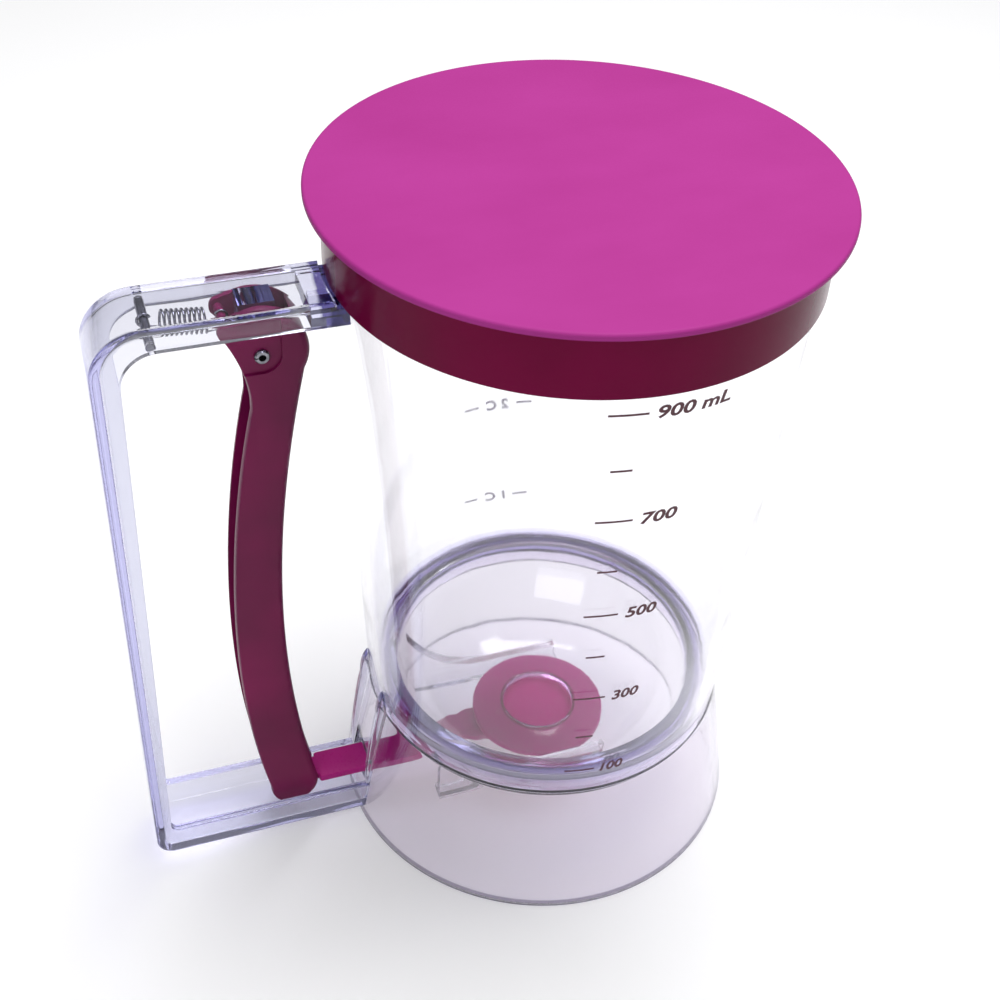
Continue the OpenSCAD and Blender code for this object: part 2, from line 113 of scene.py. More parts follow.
class Plane(Enum):
    """Plane that an outline is drawn in, with the direction it is thickened along."""

    XZ = "upright, thickened along Y"
    XY = "flat, thickened along Z"


class Join(Enum):
    """What becomes of a closed object where another one overlaps it."""

    FUSE = "UNION"
    CUT = "DIFFERENCE"


# ---- curves, as whole arrays ----


def unit(vectors: Array) -> Array:
    """Scale vectors along the last axis to length one, leaving zero vectors alone.

    Args:
        vectors: Array whose last axis holds the components.

    Returns:
        Array of the same shape.
    """
    length = np.linalg.norm(vectors, axis=-1, keepdims=True)
    return vectors / np.where(length > 1e-9, length, 1.0)


def bezier(a: Sequence[float], b: Sequence[float], c: Sequence[float], d: Sequence[float],
           count: int) -> Array:
    """Cubic curve: the Bernstein weights of t from 0 to 1 times the four control points.

    Args:
        a: Start point.
        b: First control point.
        c: Second control point.
        d: End point.
        count: Number of steps.

    Returns:
        Array of count + 1 points.
    """
    t = np.linspace(0.0, 1.0, count + 1)[:, None]
    s = 1.0 - t
    a, b, c, d = (np.asarray(p, float) for p in (a, b, c, d))
    return s**3 * a + 3 * s**2 * t * b + 3 * s * t**2 * c + t**3 * d


def arc(centre: Sequence[float], radius: float, start: float, stop: float, count: int) -> Array:
    """Circular arc: centre plus radius times cosine and sine of an even run of angles.

    Args:
        centre: Centre of the arc.
        radius: Radius of the arc.
        start: First angle in degrees.
        stop: Last angle in degrees.
        count: Number of steps.

    Returns:
        Array of count + 1 points.
    """
    angle = np.radians(np.linspace(start, stop, count + 1))
    return np.asarray(centre, float) + radius * np.stack([np.cos(angle), np.sin(angle)], -1)


def rectangle(left: float, low: float, right: float, high: float) -> Array:
    """Corners of a rectangle, from its lower left corner anticlockwise."""
    return np.array([[left, low], [right, low], [right, high], [left, high]])


def side_span(side: int, near: float, far: float) -> Pair:
    """Lowest and highest Y of what lies between two distances on one side of the middle plane.

    Args:
        side: Minus one for the near side, one for the far side.
        near: Distance of the inner face.
        far: Distance of the outer face.

    Returns:
        The lower and the higher Y.
    """
    low, high = sorted((side * near, side * far))
    return low, high


def filleted(points: Array | Sequence[Sequence[float]], radii: Sequence[float] | float,
             closed: bool = True, count: int = 6) -> Array:
    """Replace each corner of an outline by a tangent arc.

    The arc's centre lies on the corner's bisector at radius over sine of the half angle, and the
    arc turns between the two points where it touches the sides.

    Args:
        points: Corners of the outline.
        radii: One radius for every corner, or one for all.
        closed: Whether the last corner joins the first.
        count: Number of steps in each arc.

    Returns:
        Array of the rounded outline's points.
    """
    points = np.asarray(points, float)
    radius = np.broadcast_to(np.asarray(radii, float), (len(points),))[:, None]
    before, after = np.roll(points, 1, 0), np.roll(points, -1, 0)
    u, v = unit(before - points), unit(after - points)
    half = np.arccos(np.clip(np.sum(u * v, -1, keepdims=True), -1.0, 1.0)) / 2
    half = np.clip(half, 1e-3, math.pi / 2 - 1e-6)
    centre = points + unit(u + v) * radius / np.sin(half)
    first = points + u * radius / np.tan(half) - centre
    second = points + v * radius / np.tan(half) - centre
    start = np.arctan2(first[:, 1], first[:, 0])
    turn = np.arctan2(first[:, 0] * second[:, 1] - first[:, 1] * second[:, 0],
                      np.sum(first * second, -1))
    angle = start[:, None] + turn[:, None] * np.linspace(0.0, 1.0, count + 1)
    arcs = centre[:, None] + radius[:, None] * np.stack([np.cos(angle), np.sin(angle)], -1)
    keep = np.broadcast_to((radius > 1e-6)[:, None], (len(points), count + 1, 1)).copy()
    if not closed:
        keep[[0, -1]] = False
    corners = np.broadcast_to(points[:, None], arcs.shape)
    rounded = np.where(keep, arcs, corners)
    once = np.ones((len(points), count + 1), bool)
    once[:, 1:] = keep[:, 1:, 0]
    return rounded[once]


# ---- meshes, as grids of two parameters ----


def grid_faces(rows: int, columns: int, close_rows: bool) -> list[list[int]]:
    """Quads between neighbours of a grid, numbered row by row, whose last column joins the first.

    Args:
        rows: Number of rows.
        columns: Number of columns.
        close_rows: Whether the last row joins the first as well.

    Returns:
        Quads as lists of point numbers.
    """
    row = np.arange(rows if close_rows else rows - 1)[:, None]
    column = np.arange(columns)[None, :]
    next_row, next_column = (row + 1) % rows, (column + 1) % columns
    corners = (row * columns + column, row * columns + next_column,
               next_row * columns + next_column, next_row * columns + column)
    return np.stack([c.ravel() for c in np.broadcast_arrays(*corners)], -1).tolist()


def add_object(name: str, data: bpy.types.ID) -> Item:
    """Put a mesh, a lamp or a camera into the scene as an object at the origin.

    Args:
        name: Name of the object.
        data: Its mesh, lamp or camera.

    Returns:
        The new object.
    """
    item = bpy.data.objects.new(name, data)
    bpy.context.scene.collection.objects.link(item)
    return item


def shade(item: Item, sharp: float = SHARP) -> None:
    """Shade an object smooth, apart from edges that turn by more than an angle in degrees.

    Args:
        item: The object.
        sharp: Edges that turn by more degrees than this stay sharp.
    """
    item.data.polygons.foreach_set("use_smooth", np.ones(len(item.data.polygons), bool))
    item.data.set_sharp_from_angle(angle=math.radians(sharp))


def make_object(name: str, points: Array, faces: list[list[int]], sharp: float = SHARP) -> Item:
    """Put points and faces into a closed mesh object at the origin.

    Points that coincide are merged, faces of no area go, and the normals are turned outwards.

    Args:
        name: Name of the object.
        points: Points, in any grid whose last axis holds the coordinates.
        faces: Faces as lists of point numbers.
        sharp: Edges that turn by more degrees than this stay sharp.

    Returns:
        The new object, linked to the scene.
    """
    mesh = bpy.data.meshes.new(name)
    mesh.from_pydata((np.asarray(points, float).reshape(-1, 3) * MM).tolist(), [], faces)
    shape = bmesh.new()
    shape.from_mesh(mesh)
    bmesh.ops.remove_doubles(shape, verts=shape.verts, dist=2e-7)
    bmesh.ops.dissolve_degenerate(shape, edges=shape.edges, dist=1e-8)
    bmesh.ops.recalc_face_normals(shape, faces=shape.faces)
    shape.to_mesh(mesh)
    shape.free()
    item = add_object(name, mesh)
    shade(item, sharp)
    return item


def lathe(name: str, profile: Array, segments: int = 256) -> Item:
    """Turn a closed profile about the Z axis: each point goes round a circle of its own radius.

    Args:
        name: Name of the object.
        profile: Closed loop of radius and height.
        segments: Number of steps round the axis.

    Returns:
        The new object.
    """
    angle = np.linspace(0.0, 2 * math.pi, segments, endpoint=False)[:, None]
    radius, height = profile[None, :, 0], profile[None, :, 1]
    points = np.broadcast_arrays(radius * np.cos(angle), radius * np.sin(angle), height)
    return make_object(name, np.stack(points, -1), grid_faces(segments, len(profile), True))


def loft(name: str, sections: Array, sharp: float = SHARP) -> Item:
    """Join closed sections of equal count into one skin and close its two ends.

    Args:
        name: Name of the object.
        sections: Array of section, point and coordinate.
        sharp: Edges that turn by more degrees than this stay sharp.

    Returns:
        The new object.
    """
    rows, columns = sections.shape[:2]
    faces = grid_faces(rows, columns, False)
    faces.append(list(range(columns)))
    faces.append(list(range((rows - 1) * columns, rows * columns))[::-1])
    return make_object(name, sections, faces, sharp)


def slab(name: str, outline: Array, low: float, high: float, edge: float | Array = 0.0,
         plane: Plane = Plane.XZ, steps: int = 5) -> Item:
    """Thicken an outline and round its two rims.

    Each rim follows a quarter ellipse: the outline moves inwards by one minus sine of the angle
    times the rim's width there, while the level rises by one minus cosine times its depth.

    Args:
        name: Name of the object.
        outline: Closed loop of points in the plane.
        low: Lowest level along the direction of thickness.
        high: Highest level.
        edge: Width of the round rim, one for all or one for every point.
        plane: Plane of the outline.
        steps: Number of steps over a rim.

    Returns:
        The new object.
    """
    outline = np.asarray(outline, float)
    before, after = np.roll(outline, 1, 0), np.roll(outline, -1, 0)
    around = after - before
    turning = np.sum(outline[:, 0] * after[:, 1] - outline[:, 1] * after[:, 0])
    left = unit(np.stack([-around[:, 1], around[:, 0]], -1))
    inward = left if turning > 0 else -left
    width = np.broadcast_to(np.asarray(edge, float), (len(outline),))
    deepest = float(width.max())
    if deepest > 0:
        angle = np.linspace(0.0, math.pi / 2, steps + 1)
        inset = np.concatenate([1 - np.sin(angle), (1 - np.sin(angle))[::-1]])
        rise = deepest * (1 - np.cos(angle))
        level = np.concatenate([low + rise, (high - rise)[::-1]])
    else:
        inset, level = np.zeros(2), np.array([low, high])
    flat = outline[None] + inset[:, None, None] * width[None, :, None] * inward[None]
    height = np.broadcast_to(level[:, None], flat.shape[:2])
    across, along = flat[..., 0], flat[..., 1]
    order = (across, height, along) if plane is Plane.XZ else (across, along, height)
    return loft(name, np.stack(order, -1))


def rod(name: str, at: Pair, radius: float, length: float, chamfer: float = 0.3,
        middle: float = 0.0) -> Item:
    """Round bar along Y: circles whose radius drops at both ends by the chamfer.

    Args:
        name: Name of the object.
        at: Place of the bar's axis in X and Z.
        radius: Radius of the bar.
        length: Length along Y.
        chamfer: Width of the chamfered ends.
        middle: Y of the bar's middle.

    Returns:
        The new object.
    """
    sides, half = 48, length / 2
    along = np.array([-half, -half + chamfer, half - chamfer, half])
    size = np.array([radius - chamfer, radius, radius, radius - chamfer])
    angle = np.linspace(0.0, 2 * math.pi, sides, endpoint=False)
    ring = np.stack([np.cos(angle), np.zeros(sides), np.sin(angle)], -1)
    round_axis = np.array([at[0], middle, at[1]]) + size[:, None, None] * ring[None]
    return loft(name, round_axis + along[:, None, None] * np.array([0, 1, 0]))


def tube(name: str, path: Array, radius: float) -> Item:
    """Round wire along a path: circles in the plane across the path's direction.

    The circle's first axis points away from the line between the path's ends, or along Y where
    that direction nearly follows the path, and is made square to the path. The second axis is the
    cross product of the path's direction and the first.

    Args:
        name: Name of the object.
        path: Points that the wire's centre follows.
        radius: Radius of the wire.

    Returns:
        The new object.
    """
    sides = 12

    def dot(first: Array, second: Array) -> Array:
        """Sum of the products of the components, with the last axis kept."""
        return np.sum(first * second, -1, keepdims=True)

    along = unit(np.gradient(path, axis=0))
    from_middle = path - path.mean(0)
    axis = unit(path[-1] - path[0])
    outward = unit(from_middle - dot(from_middle, axis) * axis)
    outward = np.where(np.abs(dot(outward, along)) < 0.9, outward, np.array([0.0, 1.0, 0.0]))
    first = unit(outward - dot(outward, along) * along)
    second = np.cross(along, first)
    angle = np.linspace(0.0, 2 * math.pi, sides, endpoint=False)[None, :, None]
    circle = np.cos(angle) * first[:, None] + np.sin(angle) * second[:, None]
    return loft(name, path[:, None] + radius * circle, 60.0)


def combine(target: Item, how: Join, *others: Item) -> Item:
    """Fuse a closed object with others in turn, or cut them out of it, and drop the others.

    Args:
        target: Object that is kept.
        how: What to do where the objects overlap.
        others: Objects that are used up.

    Returns:
        The target with its new mesh.
    """
    for other in others:
        change = target.modifiers.new("combine", "BOOLEAN")
        change.object, change.operation, change.solver = other, how.value, "EXACT"
        bpy.context.view_layer.update()
        graph = bpy.context.evaluated_depsgraph_get()
        mesh = bpy.data.meshes.new_from_object(target.evaluated_get(graph))
        target.modifiers.clear()
        spent, target.data = target.data, mesh
        bpy.data.meshes.remove(spent)
        bpy.data.objects.remove(other)
        mesh.name = target.name
        shade(target)
    return target


def read_points(mesh: bpy.types.Mesh) -> Array:
    """Points of a mesh as it stores them, one row each.

    Args:
        mesh: The mesh.

    Returns:
        Array of its points, in metres for a finished piece.
    """
    place = np.empty(len(mesh.vertices) * 3, np.float32)
    mesh.vertices.foreach_get("co", place)
    return place.reshape(-1, 3)


def write_points(mesh: bpy.types.Mesh, points: Array) -> None:
    """Put points back into a mesh, one row each.

    Args:
        mesh: The mesh.
        points: Array of as many points as it has.
    """
    mesh.vertices.foreach_set("co", points.astype(np.float32).ravel())
    mesh.update()


# ---- finishes ----


def linear(red: int, green: int, blue: int) -> Colour:
    """Turn a colour of 0 to 255 as a screen shows it into linear light.

    Args:
        red: Red as shown.
        green: Green as shown.
        blue: Blue as shown.

    Returns:
        The colour in linear light.
    """
    shown = np.array([red, green, blue]) / 255
    value = np.where(shown > 0.04045, ((shown + 0.055) / 1.055) ** 2.4, shown / 12.92)
    return tuple(float(v) for v in value)


class Graph:
    """Node tree of a material or the world, with a short way to add and join nodes."""

    def __init__(self, owner: bpy.types.Material | bpy.types.World) -> None:
        """Empty the node tree of a new material or world.

        Args:
            owner: The material or world.
        """
        self.owner = owner
        owner.use_nodes = True
        self.tree = owner.node_tree
        self.tree.nodes.clear()

    def feed(self, socket: Socket, value: object) -> None:
        """Join an output to an input, or set the input's own value.

        Args:
            socket: Input that is fed.
            value: Output socket, number, vector or colour.
        """
        if isinstance(value, bpy.types.NodeSocket):
            self.tree.links.new(value, socket)
        else:
            socket.default_value = (*value, 1.0) if socket.type == "RGBA" else value

    def add(self, kind: str, inputs: dict[str | int, object] | None = None,
            **settings: object) -> bpy.types.Node:
        """Add a node, set its properties and feed its inputs.

        Args:
            kind: Type name of the node.
            inputs: Values or output sockets by input name or number.
            settings: Properties of the node.

        Returns:
            The new node.
        """
        node = self.tree.nodes.new(kind)
        for key, value in settings.items():
            setattr(node, key, value)
        for key, value in (inputs or {}).items():
            self.feed(node.inputs[key], value)
        return node

    def join(self, operation: str, first: Socket, second: Socket) -> Socket:
        """Product, sum or larger one of two factors, by the operation's name."""
        return self.add("ShaderNodeMath", {0: first, 1: second}, operation=operation).outputs[0]

    def place(self) -> Socket:
        """Place on the piece in metres, in object space."""
        return self.add("ShaderNodeTexCoord").outputs["Object"]

    def noise(self, scale: float, detail: float, stretch: Triple = (1.0, 1.0, 1.0)) -> Socket:
        """Fractal noise in object space, as a factor.

        Args:
            scale: Number of features over a metre.
            detail: Number of octaves.
            stretch: Scale of each axis.

        Returns:
            Output socket of the noise.
        """
        turned = self.add("ShaderNodeMapping", {"Vector": self.place(), "Scale": Vector(stretch)})
        return self.add("ShaderNodeTexNoise", {
            "Vector": turned.outputs[0], "Scale": scale, "Detail": detail}).outputs[0]

    def ramp(self, factor: Socket, low: float, high: float, start: object = 0.0,
             stop: object = 1.0) -> Socket:
        """Map a factor from one range onto another and clamp it.

        Args:
            factor: Socket that is read.
            low: Factor that becomes start.
            high: Factor that becomes stop.
            start: Result at low, as a number or socket.
            stop: Result at high, as a number or socket.

        Returns:
            Output socket of the result.
        """
        inputs = {0: factor, 1: low, 2: high, 3: start, 4: stop}
        return self.add("ShaderNodeMapRange", inputs).outputs[0]

    def mix(self, factor: Socket, first: object, second: object) -> Socket:
        """Blend two colours by a factor.

        Args:
            factor: Socket that blends them.
            first: Colour or socket at zero.
            second: Colour or socket at one.

        Returns:
            Output socket of the colour.
        """
        node = self.add("ShaderNodeMix", {0: factor}, data_type="RGBA")
        colours = [s for s in node.inputs if s.type == "RGBA"]
        for socket, value in zip(colours, (first, second)):
            self.feed(socket, value)
        return next(s for s in node.outputs if s.type == "RGBA")

    def height(self) -> Socket:
        """Height above the table in metres."""
        return self.add("ShaderNodeSeparateXYZ", {0: self.place()}).outputs[2]

    def axis_distance(self) -> Socket:
        """Distance from the cup's axis in metres."""
        flat = self.add("ShaderNodeVectorMath", {0: self.place(), 1: Vector((1.0, 1.0, 0.0))},
                        operation="MULTIPLY").outputs[0]
        return self.add("ShaderNodeVectorMath", {0: flat}, operation="LENGTH").outputs["Value"]

    def window(self, value: Socket, bounds: Pair, soft: float) -> Socket:
        """One where metres lie between two bounds in millimetres, with soft edges, else zero.

        Args:
            value: Socket that is read.
            bounds: Lower and upper bound.
            soft: Half the width of each soft edge.

        Returns:
            Output socket of the factor.
        """
        low, high = bounds
        rising = self.ramp(value, (low - soft) * MM, (low + soft) * MM)
        falling = self.ramp(value, (high - soft) * MM, (high + soft) * MM, 1.0, 0.0)
        return self.join("MULTIPLY", rising, falling)

    def bump(self, factor: Socket, strength: float, distance: float) -> Socket:
        """Surface normal disturbed by a factor, with its strength and its depth in metres."""
        return self.add("ShaderNodeBump", {
            "Height": factor, "Strength": strength, "Distance": distance}).outputs[0]

    def surface(self, colour: object, rough: object,
                others: dict[str, object] | None = None) -> Socket:
        """Principled surface.

        Args:
            colour: Colour or socket.
            rough: Roughness as a number or socket.
            others: Further inputs by name.

        Returns:
            Output socket of the shader.
        """
        inputs = {"Base Color": colour, "Roughness": rough, **(others or {})}
        return self.add("ShaderNodeBsdfPrincipled", inputs).outputs[0]

    def finish(self, surface: Socket, volume: Socket | None = None) -> bpy.types.Material:
        """Join the shaders to the output and give the material back.

        Args:
            surface: Shader of the surface.
            volume: Shader of what lies inside it.

        Returns:
            The material.
        """
        output = self.add("ShaderNodeOutputMaterial", {"Surface": surface})
        if volume is not None:
            self.feed(output.inputs["Volume"], volume)
        return self.owner


def new_graph(name: str) -> Graph:
    """Empty node tree for a new material."""
    return Graph(bpy.data.materials.new(name))


@dataclass(frozen=True)
class Zone:
    """Part of a clear piece, by distance from the cup's axis and height, whose surface colour is
    changed to paint in shade and reflections there; some zones also stand for the tint of thick
    plastic.
    """

    radius: Pair
    height: Pair
    colour: Colour
    soft: float = 0.4


@dataclass(frozen=True)
class ClearPlastic:
    """Clear moulded plastic whose tint deepens with the thickness that light crosses."""

    name: str
    density: float
    tint: Colour = (0.30, 0.28, 0.80)
    roughness: float = 0.02
    ripple: float = 0.12
    ripple_scale: float = 55.0
    haze_scale: float = 300.0
    film: Colour = WHITE
    shade: Colour = (0.88, 0.87, 0.92)
    shine: float = 0.5
    zones: tuple[Zone, ...] = ()

    def colour(self, graph: Graph) -> object:
        """Colour of the surface: the film's, with the colour of each zone, which paints shade and
        reflections, mixed in inside its bounds.

        Args:
            graph: Node tree that the zones are added to.

        Returns:
            A colour, or the output socket of one.
        """
        colour: object = self.film
        for zone in self.zones:
            inside = graph.join(
                "MULTIPLY", graph.window(graph.axis_distance(), zone.radius, zone.soft),
                graph.window(graph.height(), zone.height, zone.soft))
            colour = graph.mix(inside, colour, zone.colour)
        return colour

    def material(self) -> bpy.types.Material:
        """Build the clear material: refraction, a faint moulding ripple and tinted depth.

        Returns:
            The material.
        """
        graph = new_graph(self.name)
        wave = graph.noise(self.ripple_scale, 2.0)
        haze = graph.noise(self.haze_scale, 4.0)
        rough = graph.ramp(haze, 0.35, 0.75, self.roughness, self.roughness * 2.5)
        body = graph.surface(self.colour(graph), rough, {
            "IOR": PLASTIC_IOR, "Transmission Weight": 1.0, "Specular IOR Level": self.shine,
            "Normal": graph.bump(wave, self.ripple, 0.0004)})
        shadow = graph.add("ShaderNodeLightPath").outputs["Is Shadow Ray"]
        through = graph.add("ShaderNodeBsdfTransparent", {"Color": self.shade}).outputs[0]
        shown = graph.add("ShaderNodeMixShader", {0: shadow, 1: body, 2: through}).outputs[0]
        depth = graph.add("ShaderNodeVolumeAbsorption", {
            "Color": self.tint, "Density": self.density}).outputs[0]
        return graph.finish(shown, depth)


@dataclass(frozen=True)
class MouldedPlastic:
    """Opaque moulded plastic with soft flow variation, faint grain and uneven gloss."""

    name: str
    colour: Colour
    shade: Colour
    roughness: float
    shine: float
    grain: float = 0.10
    flow_scale: float = 26.0
    grain_scale: float = 1900.0

    def material(self) -> bpy.types.Material:
        """Build the material: two close tones mixed by slow noise, with fine grain.

        Returns:
            The material.
        """
        graph = new_graph(self.name)
        slow = graph.ramp(graph.noise(self.flow_scale, 3.0), 0.35, 0.68)
        fine = graph.noise(self.grain_scale, 4.0)
        rough = graph.ramp(fine, 0.3, 0.7, self.roughness - 0.05, self.roughness + 0.06)
        return graph.finish(graph.surface(graph.mix(slow, self.colour, self.shade), rough, {
            "IOR": PLASTIC_IOR, "Specular IOR Level": self.shine,
            "Normal": graph.bump(fine, self.grain, 0.00006)}))


@dataclass(frozen=True)
class LidPlastic:
    """Lid plastic: a satin top over a polished skirt; the skirt's colour is far darker, which is
    painted shade.
    """

    name: str
    top: Colour
    top_shade: Colour
    skirt: Colour
    skirt_shade: Colour
    step: float = 179.6
    soft: float = 0.15
    shine: float = 0.06
    grain: float = 0.12
    flow_scale: float = 22.0
    grain_scale: float = 2400.0

    def material(self) -> bpy.types.Material:
        """Build the lid's material, whose finish changes at the height of the step and whose colour
        drops there to the skirt's painted shade.

        Returns:
            The material.
        """
        graph = new_graph(self.name)
        is_top = graph.ramp(graph.height(), (self.step - self.soft) * MM,
                            (self.step + self.soft) * MM)
        slow = graph.ramp(graph.noise(self.flow_scale, 5.0, (1.0, 1.6, 1.0)), 0.35, 0.68)
        fine = graph.noise(self.grain_scale, 4.0)
        # Painted shade: below the step the skirt takes a much darker colour than the top.
        colour = graph.mix(is_top, graph.mix(slow, self.skirt, self.skirt_shade),
                           graph.mix(slow, self.top, self.top_shade))
        satin = graph.ramp(fine, 0.3, 0.7, 0.40, 0.50)
        polished = graph.ramp(fine, 0.3, 0.7, 0.16, 0.22)
        return graph.finish(graph.surface(colour, graph.ramp(is_top, 0.0, 1.0, polished, satin), {
            "IOR": PLASTIC_IOR, "Specular IOR Level": self.shine,
            "Normal": graph.bump(fine, self.grain, 0.00006)}))


@dataclass(frozen=True)
class DrawnSteel:
    """Drawn steel wire or pin with fine lines along Y and uneven gloss."""

    name: str
    colour: Colour
    roughness: float

    def material(self) -> bpy.types.Material:
        """Build the steel: brushed streaks stretched along Y.

        Returns:
            The material.
        """
        graph = new_graph(self.name)
        streak = graph.noise(900.0, 4.0, (1.0, 0.08, 1.0))
        darker = tuple(0.6 * c for c in self.colour)
        colour = graph.mix(graph.ramp(streak, 0.3, 0.7), self.colour, darker)
        rough = graph.ramp(streak, 0.3, 0.7, self.roughness - 0.08, self.roughness + 0.1)
        return graph.finish(graph.surface(colour, rough, {
            "Metallic": 1.0, "Normal": graph.bump(streak, 0.2, 0.00004)}))


@dataclass(frozen=True)
class PrintInk:
    """Screen-printed ink with a faint mottle."""

    name: str
    colour: Colour
    pale: Colour

    def material(self) -> bpy.types.Material:
        """Build the ink: two tones mixed by fine noise.

        Returns:
            The material.
        """
        graph = new_graph(self.name)
        mottle = graph.ramp(graph.noise(1400.0, 3.0), 0.4, 0.75)
        return graph.finish(graph.surface(graph.mix(mottle, self.colour, self.pale),
                                          graph.ramp(mottle, 0.0, 1.0, 0.45, 0.6)))


# Violet band on the funnel's ring: partly the tint of thick plastic, partly painted shade for the
# shaded floor that the ring reflects inside itself.
RING_TINT_AND_PAINTED_SHADE = Zone((41.1, 44.6), (42.6, 46.0), (0.76, 0.73, 0.95), 0.15)
# Painted shade: a dark violet band on the funnel just under its flange.
UNDER_FLANGE_PAINTED_SHADE = Zone((40.6, 42.7), (40.0, 42.2), (0.15, 0.12, 0.34), 0.15)
# Violet band on the cup's wall above its foot ring: partly the tint of thick plastic, partly painted
# shade.
WALL_TINT_AND_PAINTED_SHADE = Zone((43.6, 47.6), (41.9, 44.0), (0.72, 0.70, 0.90), 0.2)
# Lavender band on the cup's foot ring and spigot: partly the tint of thick plastic, partly painted
# shade.
FOOT_TINT_AND_PAINTED_SHADE = Zone((41.0, 46.8), (34.0, 41.9), (0.84, 0.80, 0.92), 0.3)
# Painted shade: a dark band round the base's foot where it stands on the table.
FOOT_EDGE_PAINTED_SHADE = Zone((50.6, 54.0), (-1.0, 0.9), (0.22, 0.20, 0.27), 0.2)
# Painted reflection: pink on the clear outlet's wall for the pink valve seen in it.
OUTLET_PAINTED_REFLECTION = Zone((8.6, 10.3), (16.0, 23.0), (0.44, 0.12, 0.30), 0.15)
# Painted shade and reflection: near-black violet on the handle's end block for the lid's dark skirt
# over it.
BLOCK_PAINTED_SHADE_AND_REFLECTION = Zone((51.5, 56.4), (154.0, 163.6), (0.025, 0.02, 0.11))
CLEAR_CUP = ClearPlastic(
    "clear_cup_plastic", density=9.0, shine=0.32, zones=(FOOT_TINT_AND_PAINTED_SHADE, WALL_TINT_AND_PAINTED_SHADE))
CLEAR_FUNNEL = ClearPlastic(
    "clear_funnel_plastic", density=10.0, roughness=0.04, ripple=0.2, film=(0.97, 0.97, 0.98),
    shade=(0.66, 0.63, 0.69), shine=0.2, zones=(RING_TINT_AND_PAINTED_SHADE, UNDER_FLANGE_PAINTED_SHADE, OUTLET_PAINTED_REFLECTION))
CLEAR_BASE = ClearPlastic(
    "clear_base_plastic", density=14.0, film=(0.87, 0.845, 0.875), shade=(0.83, 0.80, 0.83),
    zones=(FOOT_EDGE_PAINTED_SHADE,))
CLEAR_HANDLE = ClearPlastic(
    "clear_handle_plastic", density=38.0, ripple=0.15, film=(0.86, 0.865, 0.90),
    shade=(0.84, 0.83, 0.88), zones=(BLOCK_PAINTED_SHADE_AND_REFLECTION,))
PLUM = MouldedPlastic(
    "plum_plastic", linear(126, 11, 76), linear(92, 9, 57), roughness=0.36, shine=0.2, grain=0.14)
LINK_PINK = MouldedPlastic(
    "link_plastic", linear(184, 38, 130), linear(166, 30, 114), roughness=0.3, shine=0.15)
VALVE_PINK = MouldedPlastic(
    "valve_plastic", linear(208, 26, 144), linear(192, 20, 130), roughness=0.34, shine=0.03)
# The skirt's two colours are darker than the top's as painted shade.
LID_PINK = LidPlastic(
    "lid_plastic", linear(169, 55, 139), linear(163, 50, 132), linear(112, 1, 56),
    linear(96, 1, 46))
STEEL = DrawnSteel("steel_pin", linear(150, 150, 158), 0.3)
WIRE = DrawnSteel("spring_wire", linear(165, 165, 172), 0.24)
MAROON_INK = PrintInk("scale_ink", linear(74, 24, 38), linear(92, 40, 54))
GREY_INK = PrintInk("back_scale_ink", linear(112, 100, 122), linear(136, 124, 146))

Finish = ClearPlastic | MouldedPlastic | LidPlastic | DrawnSteel | PrintInk


class Wardrobe:
    """Materials made so far, so that each finish is built once."""

    def __init__(self) -> None:
        """Start with no materials."""
        self._made: dict[str, bpy.types.Material] = {}

    def material(self, finish: Finish) -> bpy.types.Material:
        """Give the material of a finish, building it at its first use.

        Args:
            finish: The finish.

        Returns:
            Its material.
        """
        if finish.name not in self._made:
            self._made[finish.name] = finish.material()
        return self._made[finish.name]

    def wear(self, item: Item, finish: Finish, node: str | None = None) -> None:
        """Give a piece its finish and hide the CAD node that it stands for.

        Args:
            item: The piece.
            finish: Finish that it wears.
            node: CAD node that it replaces.
        """
        item.data.materials.clear()
        item.data.materials.append(self.material(finish))
        if node is not None:
            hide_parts(node)
        LOG.info("%s: %d faces in %s", item.name, len(item.data.polygons), finish.name)

    def dress(self, item: Item, finish: Finish, body: Body,
              node: str | None = None) -> None:
        """Put a piece on its body, with its finish, and hide its CAD node.

        Args:
            item: The piece.
            finish: Finish that it wears.
            body: Body that it rides on.
            node: CAD node that it replaces.
        """
        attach(item, body.value)
        self.wear(item, finish, node)


# ---- the object's sub-assemblies ----


